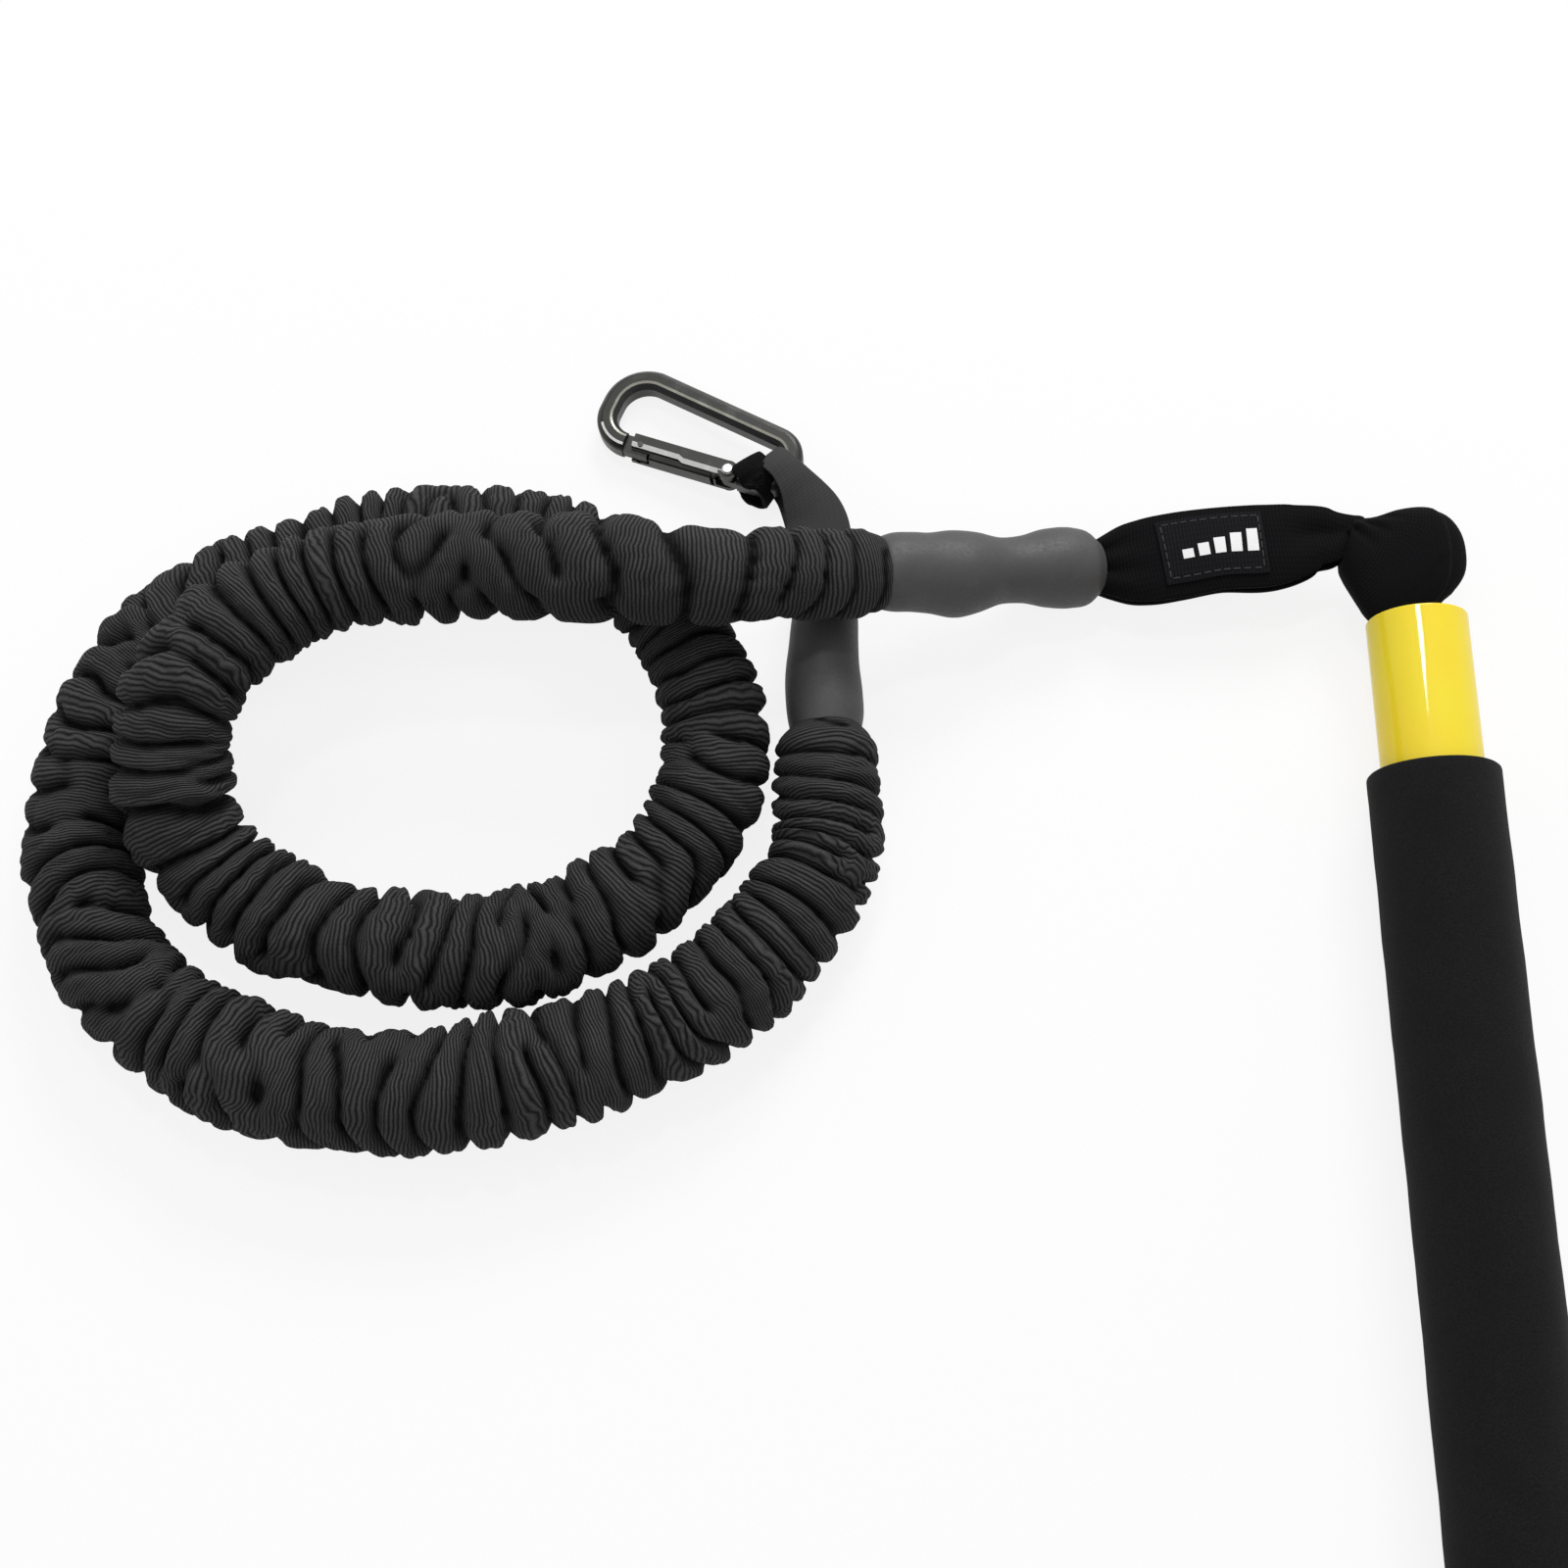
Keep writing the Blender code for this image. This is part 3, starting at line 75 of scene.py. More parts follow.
FAR_END_Y, MOUTH_Y, TUBE_RADIUS, AXIS_HEIGHT = on_bar("bar_tube")
HITCH = Vector((*JOINTS["cord_swing"]["pos_m"][:2], 0.0))
HELD = Vector(JOINTS["carabiner_lift"]["pos_m"])

# Camera, by the tube's mouth along the bar
CAMERA_PLACE = Vector((-0.1735, MOUTH_Y - 0.2088, 0.5633))
CAMERA_AIM = Vector((-0.1703, MOUTH_Y - 0.0373, 0.0))
CAMERA_LENS = 50.0

# The floor's colour, and the share of it that stays white in the shade
FLOOR_WHITE = (0.97, 0.97, 0.975, 1.0)
FLOOR_OWN_WHITE = 0.85
FLOOR_SIZE = 9.0

# The world's light on the pieces, and the lamps: place, width, depth and power
WORLD_LIGHT = 0.42
LAMPS = {
    "key": ((0.35, 2.15, 1.30), 0.9, 0.8, 30.0),
    "fill": ((-1.2, 0.0, 1.3), 1.0, 1.0, 2.0),
    "strip": ((-0.30, 1.062, 1.5), 0.24, 0.11, 3.8),
}

# The cord's middle line from the straight run at its bar end to the one at its carabiner
# end, from the hitch: across the bar, along it, height, and the sleeve's outer radius
CORD_ROUTE = [
    (-0.1570, -0.0165, 0.0362, 0.0112), (-0.1700, -0.0180, 0.0394, 0.0117),
    (-0.1830, -0.0178, 0.0414, 0.0122), (-0.1975, -0.0165, 0.0418, 0.0126),
    (-0.2170, -0.0146, 0.0405, 0.0134), (-0.2400, -0.0134, 0.0396, 0.0136),
    (-0.2620, -0.0146, 0.0393, 0.0134), (-0.2790, -0.0184, 0.0390, 0.0136),
    (-0.2925, -0.0250, 0.0388, 0.0138), (-0.3028, -0.0350, 0.0386, 0.0142),
    (-0.3102, -0.0470, 0.0368, 0.0147), (-0.3142, -0.0610, 0.0314, 0.0150),
    (-0.3130, -0.0740, 0.0244, 0.0147), (-0.3050, -0.0870, 0.0180, 0.0143),
    (-0.2905, -0.0980, 0.0149, 0.0141), (-0.2700, -0.1066, 0.0147, 0.0143),
    (-0.2450, -0.1107, 0.0147, 0.0143), (-0.2230, -0.1084, 0.0147, 0.0143),
    (-0.2040, -0.1002, 0.0146, 0.0142), (-0.1880, -0.0875, 0.0140, 0.0136),
    (-0.1775, -0.0730, 0.0142, 0.0138), (-0.1745, -0.0570, 0.0143, 0.0139),
    (-0.1765, -0.0410, 0.0139, 0.0135), (-0.1830, -0.0245, 0.0132, 0.0128),
    (-0.1945, -0.0105, 0.0132, 0.0128), (-0.2100, -0.0008, 0.0137, 0.0133),
    (-0.2330, 0.0048, 0.0141, 0.0137), (-0.2570, 0.0048, 0.0142, 0.0138),
    (-0.2800, -0.0005, 0.0142, 0.0138), (-0.3020, -0.0090, 0.0142, 0.0138),
    (-0.3220, -0.0235, 0.0142, 0.0138), (-0.3355, -0.0430, 0.0143, 0.0139),
    (-0.3415, -0.0660, 0.0145, 0.0141), (-0.3400, -0.0900, 0.0147, 0.0143),
    (-0.3285, -0.1150, 0.0150, 0.0146), (-0.3080, -0.1325, 0.0154, 0.0150),
    (-0.2800, -0.1435, 0.0160, 0.0156), (-0.2480, -0.1465, 0.0164, 0.0160),
    (-0.2190, -0.1412, 0.0162, 0.0158), (-0.1918, -0.1322, 0.0156, 0.0152),
    (-0.1690, -0.1174, 0.0150, 0.0146), (-0.1530, -0.0985, 0.0146, 0.0142),
    (-0.1456, -0.0800, 0.0142, 0.0138),
]
# The ways of its straight ends, away from the coil
BAR_END_HEADING = (0.0620, 0.0079, -0.0185)
CLIP_END_HEADING = (0.0004, 0.0510, -0.0028)
SHRINK_LENGTH_BAR = 0.0620
SHRINK_LENGTH_CLIP = 0.0460
SLEEVE_STRAIGHT = 0.0280
SLEEVE_END_RADIUS = 0.0098
ROUTE_STEP = 0.002

# Gathers of the sleeve: share of its length, the fold's pitch and its depth
GATHERS = [
    (0.00, 0.0080, 0.0012), (0.03, 0.0105, 0.0028), (0.07, 0.0150, 0.0042),
    (0.11, 0.0112, 0.0050), (0.16, 0.0080, 0.0056), (0.22, 0.0082, 0.0054),
    (0.30, 0.0086, 0.0056), (0.36, 0.0078, 0.0050), (0.42, 0.0068, 0.0042),
    (0.49, 0.0072, 0.0042), (0.56, 0.0074, 0.0046), (0.66, 0.0082, 0.0052),
    (0.76, 0.0086, 0.0056), (0.84, 0.0082, 0.0054), (0.91, 0.0066, 0.0044),
    (0.97, 0.0060, 0.0034), (1.00, 0.0060, 0.0014),
]
SLEEVE_ROWS = 1330
SLEEVE_COLUMNS = 72
FOLDS_ROUND = 7.0
# Large and small folds: their pitch and count round the sleeve against the large ones', how
# far they are held straight round it, their wander along and round it, the level and gain of
# their puffs, and their share of the height
FOLD_LAYERS = (
    (1.00, 1.0, 0.17, 2.6, 2.2, 0.61, 0.64, 0.78),
    (0.45, 2.1, 0.10, 1.6, 1.4, 0.62, 0.60, 0.22),
)
# How far the sleeve laps under each shrink sleeve, and its radius there
SLEEVE_LAP = 0.004
SLEEVE_TUCKED = 0.0084
# How far the puffs stand past the route's radius, and the fold height that stands so far
PUFF_REACH = 0.0011
PUFF_FULL = 0.94
# How far the folds lean along the cord, at even steps of its length
FOLD_LEAN = (0.3, -0.5, 0.6, 0.2, -0.4, 0.5, -0.3, 0.6, 0.0)
LEAN_SHARE = 0.35
# How far the ribs bow, and the share of the cloth's local length that they follow
RIB_BOW = 0.0030
RIB_FOLLOWS = 0.8
LEAST_HEIGHT = 0.0004
PATH_POINTS = 320

# Bar pieces
TUBE_WALL = 0.0020
TUBE_RIM = 0.0004
GRIP_RIM = 0.0009
GRIP_STEPS = 90
# How deep the grip's skin goes, and its waves: how many to a metre with their shares, and
# their height
GRIP_SKIN = 0.002
GRIP_WAVES = ((55.0, 1.0), (160.0, 0.5))
GRIP_WAVE_HEIGHT = 0.00022
PIN_RADIUS = 0.0030
PIN_DEPTH = 0.0600
CAP_SPIGOT = 0.0240
CAP_RIM = 0.0009
CAP_WALL = 0.0022
ROUND_SIDES = 96

# Shrink sleeves: share of the length outwards from the cloth, outer radius, and how far the
# middle stands to one side
SHRINK_WALL = 0.0011
SHRINK_ROWS = 64
SHRINK_SIDES = 64
SHRINK_LUMPS = 90.0
SHRINK_LUMP_SHARE = 0.035
SHRINK_BAR = [
    (0.00, 0.0096, 0.0000), (0.05, 0.0104, 0.0002), (0.14, 0.0106, 0.0002),
    (0.22, 0.0107, -0.0003), (0.34, 0.0117, -0.0006), (0.44, 0.0109, -0.0004),
    (0.56, 0.0090, 0.0000), (0.66, 0.0091, 0.0004), (0.78, 0.0107, 0.0005),
    (0.90, 0.0109, 0.0004), (0.97, 0.0098, 0.0001), (1.00, 0.0082, 0.0000),
]
SHRINK_CLIP = [
    (0.00, 0.0094, 0.0000), (0.10, 0.0102, 0.0000), (0.24, 0.0104, 0.0003),
    (0.44, 0.0099, 0.0004), (0.58, 0.0094, 0.0000), (0.72, 0.0090, -0.0003),
    (0.86, 0.0085, -0.0003), (0.96, 0.0080, 0.0000), (1.00, 0.0073, 0.0000),
]

# Strap at the bar, from the hitch: across the bar, along it, height, half width and half
# the way between its two plies. It starts at its fold through the hood
BAR_STRAP = [
    (0.0000, 0.0006, 0.0150, 0.0046, 0.0029), (-0.0035, 0.0003, 0.0150, 0.0058, 0.0029),
    (-0.0065, 0.0000, 0.0150, 0.0074, 0.0029), (-0.0110, 0.0001, 0.0150, 0.0086, 0.0029),
    (-0.0160, -0.0009, 0.0150, 0.0104, 0.0028), (-0.0230, -0.0021, 0.0149, 0.0117, 0.0027),
    (-0.0380, -0.0027, 0.0143, 0.0119, 0.0026), (-0.0490, -0.0040, 0.0134, 0.0123, 0.0024),
    (-0.0570, -0.0050, 0.0127, 0.0119, 0.0022), (-0.0625, -0.0054, 0.0119, 0.0108, 0.0020),
    (-0.0675, -0.0056, 0.0111, 0.0085, 0.0018), (-0.0714, -0.0056, 0.0105, 0.0066, 0.0015),
    (-0.0810, -0.0068, 0.0134, 0.0048, 0.0014), (-0.0960, -0.0087, 0.0179, 0.0046, 0.0018),
    (-0.1036, -0.0097, 0.0202, 0.0046, 0.0033),
]
# Strap at the carabiner, the same from its fold round the carabiner
CLIP_STRAP = [
    (-0.1551, 0.0240, 0.0084, 0.0040, 0.0071), (-0.1530, 0.0214, 0.0084, 0.0047, 0.0068),
    (-0.1500, 0.0170, 0.0082, 0.0064, 0.0054), (-0.1473, 0.0118, 0.0082, 0.0080, 0.0040),
    (-0.1458, 0.0060, 0.0088, 0.0087, 0.0028), (-0.1452, 0.0010, 0.0095, 0.0082, 0.0021),
    (-0.1450, -0.0035, 0.0100, 0.0068, 0.0017), (-0.1450, -0.0061, 0.0101, 0.0056, 0.0015),
    (-0.1451, -0.0130, 0.0105, 0.0047, 0.0014), (-0.1453, -0.0240, 0.0111, 0.0044, 0.0033),
]
# The strap's inner fold, bunched round the carabiner's hinge side
# It is dressed in black webbing as painted shade of the hollow inside the grey strap's loop
CLIP_FOLD = [
    (-0.1634, 0.0246, 0.0081, 0.0049, 0.0048), (-0.1626, 0.0233, 0.0082, 0.0052, 0.0048),
    (-0.1617, 0.0223, 0.0083, 0.0050, 0.0048), (-0.1608, 0.0214, 0.0084, 0.0044, 0.0047),
    (-0.1600, 0.0208, 0.0087, 0.0036, 0.0044),
]
# The hood over the hitch and down the tube, from the hitch: inner edge, outer edge, height,
# half thickness, and where its upper layer ends, from -1 at the inner edge to 1
HOOD = [
    (-0.0046, -0.0066, -0.0006, 0.0056, 0.0150, 0.0060, 1.00),
    (-0.0050, -0.0092, 0.0055, 0.0056, 0.0153, 0.0064, 1.00),
    (-0.0045, -0.0118, 0.0120, 0.0074, 0.0157, 0.0068, 1.00),
    (-0.0037, -0.0143, 0.0200, 0.0078, 0.0161, 0.0071, 0.97),
    (-0.0028, -0.0167, 0.0254, 0.0054, 0.0165, 0.0070, 0.79),
    (-0.0020, -0.0187, 0.0284, 0.0006, 0.0168, 0.0068, 0.66),
    (-0.0012, -0.0205, 0.0292, -0.0058, 0.0170, 0.0065, 0.60),
    (-0.0004, -0.0223, 0.0282, -0.0116, 0.0171, 0.0060, 0.58),
    (0.0008, -0.0241, 0.0252, -0.0160, 0.0172, 0.0054, 0.64),
    (0.0026, -0.0260, 0.0208, -0.0200, 0.0173, 0.0050, 0.74),
    (0.0040, -0.0290, 0.0190, -0.0262, 0.0174, 0.0047, 0.84),
    (0.0041, -0.0420, 0.0212, -0.0410, 0.0174, 0.0043, 0.94),
    (0.0041, -0.0850, 0.0231, -0.0850, 0.0174, 0.0043, 1.00),
]
HOOD_ROWS = 110
HOOD_SIDES = 120
# How square the hood's section is across and in height: 1 for round, less for squarer
HOOD_SQUARENESS = (0.72, 0.85)
# The step down where the upper layer ends, and its width
LAYER_STEP = 0.0017
LAYER_EDGE = 0.05
HOOD_LIP = 0.0030
# Lines where the hood is pinched, from the hitch: from, to, depth
HOOD_CREASES = [
    (0.0010, 0.0046, 0.0080, -0.0020, 0.0022), (0.0020, 0.0052, 0.0120, 0.0030, 0.0015),
    (-0.0010, 0.0010, 0.0040, -0.0060, 0.0016), (0.0200, -0.0100, 0.0130, -0.0200, 0.0005),
]
CREASE_WIDTH = 0.0009

# The share of the strap at the bar that is free of the shrink sleeve, and the label: where it
# starts and ends along that share, and across it
FREE_SHARE = 0.68
LABEL_ALONG = (0.355, 0.745)
LABEL_ACROSS = (-0.78, 0.72)
LABEL_LIFT = 0.00035
LABEL_THICKNESS = 0.0006
LABEL_CELLS = (30, 20)
# Its blocks, as shares of the label: the first one's start, their pitch and length, their
# foot, and the first one's height with what each next one adds
LABEL_BLOCKS = 5
BLOCK_START, BLOCK_PITCH, BLOCK_LENGTH = 0.80, 0.155, 0.105
BLOCK_FOOT, BLOCK_HEIGHT, BLOCK_GROWTH = 0.66, 0.14, 0.055
BLOCK_THICKNESS = 0.0002
BLOCK_CELLS = (6, 6)
# Its stitches: inset along and across as shares of the label
STITCH_INSET = (0.045, 0.075)
STITCH_PITCH = 0.0027
STITCH_RADIUS = 0.00022
STITCH_LENGTH = 0.0019
STITCH_ROUNDING = 0.00015
PRINT_LIFT = 0.00072

# Carabiner, by the middle line of its bar
CLIP_LENGTH = 0.0545
CLIP_BIG_WIDTH = 0.0222
CLIP_SMALL_WIDTH = 0.0138
CLIP_BAR_WIDTH = 0.0058
CLIP_BAR_HEIGHT = 0.0075
CLIP_CHAMFER = 0.0015
CLIP_FACET = 0.0004
CLIP_SMALL_RADIUS = 0.0066
CLIP_SPINE_RADIUS = 0.0100
CLIP_NOSE_RADIUS = 0.0080
CLIP_HELD_ANGLE = radians(160)
CLIP_HEADING = radians(154.7)
CLIP_REST_HEIGHT = CLIP_BAR_HEIGHT / 2 + 0.0003
GATE_PIVOT = 0.0150
GATE_NOSE = 0.0435
BEND_STEPS = 16
TANG_THICKNESS = 0.0030
TANG_WIDTH = 0.0052
NOSE_TANG_REACH = 0.0048
NOSE_PIN_SETBACK = 0.0024
NOSE_PIN_RADIUS = 0.0008
RIVET_RADIUS = 0.0011
FREE_PLAY = 0.0004
# The gate's ledge height, where the slope above it runs across, the slope's foot, how far it
# steps inwards, the length of that step, and where it is along the gate
GATE_LEDGE = 0.0020
GATE_SLOPE = (0.0005, 0.0017)
GATE_SLOPE_FOOT = 0.0030
GATE_STEP = 0.0007
GATE_STEP_RUN = 0.0014
GATE_STEP_AT = 0.46
GATE_EDGE = 0.0004
GATE_NOTCH = 0.0011
GAP = 0.0003


class CordBarSizes(bpy.types.PropertyGroup):
    """Sizes of the surface detail."""

    rib_pitch: bpy.props.FloatProperty(
        name="Rib pitch", description="From rib to rib of the gathered cloth",
        default=0.00115, unit="LENGTH",
    )
    weave_pitch: bpy.props.FloatProperty(
        name="Weave pitch", description="From rib to rib across the webbing",
        default=0.00095, unit="LENGTH",
    )
    webbing_thickness: bpy.props.FloatProperty(
        name="Webbing thickness", description="Thickness of each ply of webbing",
        default=0.0018, unit="LENGTH",
    )
    foam_grain: bpy.props.FloatProperty(
        name="Foam grain", description="Size of the foam's pores",
        default=0.0005, unit="LENGTH",
    )
    fold_seed: bpy.props.IntProperty(
        name="Fold seed", description="Which pattern of folds the gathered cloth takes",
        default=7,
    )


def colour(label, description, red, green, blue):
    return bpy.props.FloatVectorProperty(
        name=label, description=description, default=(red, green, blue, 1.0),
        subtype="COLOR", size=4, min=0.0, max=1.0,
    )


class CordBarColours(bpy.types.PropertyGroup):
    """Colours of the finishes."""

    tube: colour("Tube", "Gloss paint of the bar tube", 0.95, 0.76, 0.022)
    foam: colour("Foam", "Foam of the grips", 0.0115, 0.0115, 0.0125)
    cap: colour("Cap", "Plastic of the far end's cap", 0.022, 0.022, 0.024)
    webbing: colour("Webbing", "Webbing at the bar", 0.0042, 0.0041, 0.0048)
    clip_webbing: colour("Carabiner webbing", "Webbing at the carabiner", 0.056, 0.056, 0.057)
    sleeve: colour("Sleeve", "Crests of the gathered cloth", 0.066, 0.064, 0.065)
    shrink: colour("Shrink sleeve", "Rubbery shrink sleeves", 0.048, 0.047, 0.049)
    clip: colour("Carabiner", "Anodised carabiner", 0.032, 0.032, 0.030)
    print: colour("Print", "Level blocks printed on the label", 0.86, 0.86, 0.87)


def sizes():
    return bpy.context.scene.cord_bar_sizes


def colours():
    return bpy.context.scene.cord_bar_colours


# Node trees

def fed(tree, made, inputs):
    """Sets a node's inputs. Each is given a value or the socket that feeds it."""
    for key, value in inputs.items():
        if isinstance(value, bpy.types.NodeSocket):
            tree.links.new(value, made.inputs[key])
        else:
            made.inputs[key].default_value = value


def node(tree, kind, inputs=None, **settings):
    """Adds a shader node."""
    made = tree.nodes.new(kind)
    for key, value in settings.items():
        setattr(made, key, value)
    fed(tree, made, inputs or {})
    return made


def maths(tree, operation, first, second=0.0):
    return node(tree, "ShaderNodeMath", {0: first, 1: second}, operation=operation).outputs[0]


def blended(tree, factor, first, second):
    """A colour between two colours."""
    inputs = {0: factor, 6: first, 7: second}
    return node(tree, "ShaderNodeMix", inputs, data_type="RGBA").outputs[2]


def ranged(tree, value, from_low, from_high, to_low, to_high):
    made = node(tree, "ShaderNodeMapRange", {
        "Value": value, "From Min": from_low, "From Max": from_high,
        "To Min": to_low, "To Max": to_high,
    })
    return made.outputs[0]


def ridges(tree, count):
    """A ridge at each count: 0 in the valleys and 1 on the crests."""
    return maths(tree, "ABSOLUTE", maths(tree, "SINE", maths(tree, "MULTIPLY", count, pi)))


def effect(name, inputs, outputs):
    """A new node group with named number sockets, and its two end nodes."""
    tree = bpy.data.node_groups.new(name, "ShaderNodeTree")
    for label, value in inputs.items():
        socket = tree.interface.new_socket(label, in_out="INPUT", socket_type="NodeSocketFloat")
        socket.default_value = value
    for label in outputs:
        tree.interface.new_socket(label, in_out="OUTPUT", socket_type="NodeSocketFloat")
    return tree, tree.nodes.new("NodeGroupInput"), tree.nodes.new("NodeGroupOutput")


def fine_grain():
    """Fine noise in the object's own space: a height and a shade."""
    tree, start, end = effect(
        "fine_grain", {"Size": 0.001, "Patches": 0.02}, ("Height", "Shade")
    )
    place = node(tree, "ShaderNodeTexCoord").outputs["Object"]
    for size, target, detail, roughness in (
        ("Size", "Height", 3.0, 0.6), ("Patches", "Shade", 2.0, 0.5),
    ):
        made = node(tree, "ShaderNodeTexNoise", {
            "Vector": place, "Scale": maths(tree, "DIVIDE", 1.0, start.outputs[size]),
            "Detail": detail, "Roughness": roughness,
        })
        fed(tree, end, {target: made.outputs[0]})
    return tree


def cloth_ribs():
    """Ridges that follow a count of ribs: their height and how far up the ridge a point is."""
    tree, start, end = effect("cloth_ribs", {"Count": 0.0, "Wander": 0.3}, ("Height", "Ridge"))
    place = node(tree, "ShaderNodeTexCoord").outputs["Object"]
    broad, yarn = (
        node(tree, "ShaderNodeTexNoise", {"Vector": place, "Scale": scale, "Detail": 2.0})
        for scale in (160.0, 1800.0)
    )
    centred = maths(tree, "SUBTRACT", broad.outputs[0], 0.5)
    wander = maths(tree, "MULTIPLY", centred, start.outputs["Wander"])
    ridge = ridges(tree, maths(tree, "ADD", start.outputs["Count"], wander))
    rounded = maths(tree, "POWER", ridge, 0.7)
    rough = maths(tree, "MULTIPLY", yarn.outputs[0], 0.30)
    narrowed = maths(tree, "POWER", ridge, 1.5)
    worn = ranged(tree, yarn.outputs[0], 0.3, 0.7, 0.7, 1.15)
    # The second output is the mask for painted shade in the rib grooves
    fed(tree, end, {
        "Height": maths(tree, "ADD", rounded, rough),
        "Ridge": maths(tree, "MULTIPLY", narrowed, worn),
    })
    return tree


def webbing_weave():
    """Flat webbing: ribs across it, crossed by the lengthwise yarns. Reads the piece's UV map,
    which is in metres along and across the webbing."""
    tree, start, end = effect("webbing_weave", {"Pitch": 0.001}, ("Height", "Ridge"))
    place = node(tree, "ShaderNodeUVMap", uv_map="cloth").outputs[0]
    parts = node(tree, "ShaderNodeSeparateXYZ", {0: place})
    along, across = (
        maths(tree, "DIVIDE", parts.outputs[i], start.outputs["Pitch"]) for i in range(2)
    )
    rib = maths(tree, "POWER", ridges(tree, along), 0.7)
    yarn = ridges(tree, maths(tree, "MULTIPLY", across, 0.62))
    woven = maths(tree, "MULTIPLY", rib, ranged(tree, yarn, 0.0, 1.0, 0.55, 1.0))
    # The weave's height is also the mask for painted shade in its valleys
    fed(tree, end, {"Height": woven, "Ridge": woven})
    return tree


def grouped(tree, maker, **inputs):
    """Places an effect's node group, which its maker builds the first time."""
    group = bpy.data.node_groups.get(maker.__name__) or maker()
    return node(tree, "ShaderNodeGroup", inputs, node_tree=group)


def bumped(tree, height, strength, distance):
    inputs = {"Height": height, "Strength": strength, "Distance": distance}
    return node(tree, "ShaderNodeBump", inputs).outputs[0]


def new_finish(name, viewport):
    """A material, its node tree and its Principled shader."""
    made = bpy.data.materials.new(name)
    made.use_nodes = True
    made.diffuse_color = viewport
    return made, made.node_tree, made.node_tree.nodes["Principled BSDF"]


def shaded(viewport, share):
    """The same colour, darker or lighter."""
    return (*(channel * share for channel in viewport[:3]), 1.0)


def tube_paint():
    base = tuple(colours().tube)
    made, tree, shader = new_finish("tube_paint", base)
    grain = grouped(tree, fine_grain, Size=0.0012, Patches=0.03)
    tint = ranged(tree, grain.outputs["Shade"], 0.35, 0.65, 0.0, 1.0)
    warm = (base[0], base[1] * 0.93, base[2] * 0.8, 1.0)
    fed(tree, shader, {
        "Base Color": blended(tree, tint, warm, base),
        "Roughness": ranged(tree, grain.outputs["Height"], 0.62, 0.75, 0.52, 0.66),
        "Specular IOR Level": 0.2, "Coat Weight": 0.55, "Coat Roughness": 0.05,
        "Normal": bumped(tree, grain.outputs["Shade"], 0.05, 0.0008),
    })
    return made


def foam_finish():
    base = tuple(colours().foam)
    made, tree, shader = new_finish("grip_foam", base)
    grain = grouped(tree, fine_grain, Size=sizes().foam_grain, Patches=0.012)
    pores = ranged(tree, grain.outputs["Height"], 0.35, 0.65, 0.0, 1.0)
    cloudy = blended(tree, grain.outputs["Shade"], shaded(base, 0.75), shaded(base, 1.35))
    fed(tree, shader, {
        "Base Color": blended(tree, pores, shaded(base, 0.55), cloudy),
        "Roughness": 0.96, "Specular IOR Level": 0.10,
        "Sheen Weight": 0.03, "Sheen Roughness": 0.6,
        "Normal": bumped(tree, grain.outputs["Height"], 0.55, 0.00025),
    })
    return made


def plain_finish(name, base, roughness, size, metallic=0.0, depth=0.00004, wear=0.3):
    """Moulded or turned pieces: fine grain, and patches where the surface is rubbed."""
    made, tree, shader = new_finish(name, base)
    grain = grouped(tree, fine_grain, Size=size, Patches=0.006)
    rubbed = ranged(tree, grain.outputs["Shade"], 0.52, 0.68, 0.0, wear)
    light = tuple(min(1.0, channel * 1.5 + 0.01) for channel in base[:3])
    low, high = roughness * 0.85, roughness * 1.12
    fed(tree, shader, {
        "Base Color": blended(tree, rubbed, base, (*light, 1.0)),
        "Metallic": metallic,
        "Roughness": ranged(tree, grain.outputs["Height"], 0.3, 0.7, low, high),
        "Normal": bumped(tree, grain.outputs["Height"], 0.4, depth),
    })
    return made


def sleeve_cloth():
    base = tuple(colours().sleeve)
    made, tree, shader = new_finish("gathered_cloth", base)
    count, fold = (
        node(tree, "ShaderNodeAttribute", attribute_name=name).outputs["Fac"]
        for name in ("rib", "fold")
    )
    ribs = grouped(tree, cloth_ribs, Count=count, Wander=0.35)
    grain = grouped(tree, fine_grain, Size=0.0006, Patches=0.010)
    patchy = blended(tree, grain.outputs["Shade"], shaded(base, 0.8), shaded(base, 1.2))
    # Painted shade: the rib grooves darken to about a sixth of the colour
    lit = blended(tree, ribs.outputs["Ridge"], shaded(base, 0.17), patchy)
    # Painted shade: the creases between the folds darken to a thirtieth of the colour
    crease_painted_shade = ranged(tree, fold, 0.15, 0.62, 0.02, 1.0)
    fed(tree, shader, {
        "Base Color": blended(tree, crease_painted_shade, shaded(base, 0.03), lit),
        "Roughness": 0.90, "Specular IOR Level": 0.07,
        "Sheen Weight": 0.02, "Sheen Roughness": 0.45,
        "Normal": bumped(tree, ribs.outputs["Height"], 0.85, 0.00045),
    })
    return made


def webbing(name, base, painted_valley_shade=0.45, depth=0.00022):
    """Woven tape: the share of the colour left as painted shade in its valleys, and how deep they
    are.
    """
    made, tree, shader = new_finish(name, base)
    weave = grouped(tree, webbing_weave, Pitch=sizes().weave_pitch)
    grain = grouped(tree, fine_grain, Size=0.0005, Patches=0.008)
    patchy = blended(tree, grain.outputs["Shade"], shaded(base, 0.85), shaded(base, 1.3))
    fed(tree, shader, {
        "Base Color": blended(tree, weave.outputs["Ridge"], shaded(base, painted_valley_shade), patchy),
        "Roughness": 0.80, "Specular IOR Level": 0.06,
        "Sheen Weight": 0.01, "Sheen Roughness": 0.4,
        "Normal": bumped(tree, weave.outputs["Height"], 0.7, depth),
    })
    return made


def seen_rays(tree):
    """1 for what the camera, a reflection or a clear body shows, 0 for light on the pieces."""
    rays = node(tree, "ShaderNodeLightPath").outputs
    seen = maths(tree, "MAXIMUM", rays["Is Camera Ray"], rays["Is Transmission Ray"])
    return maths(tree, "MAXIMUM", seen, rays["Is Glossy Ray"])


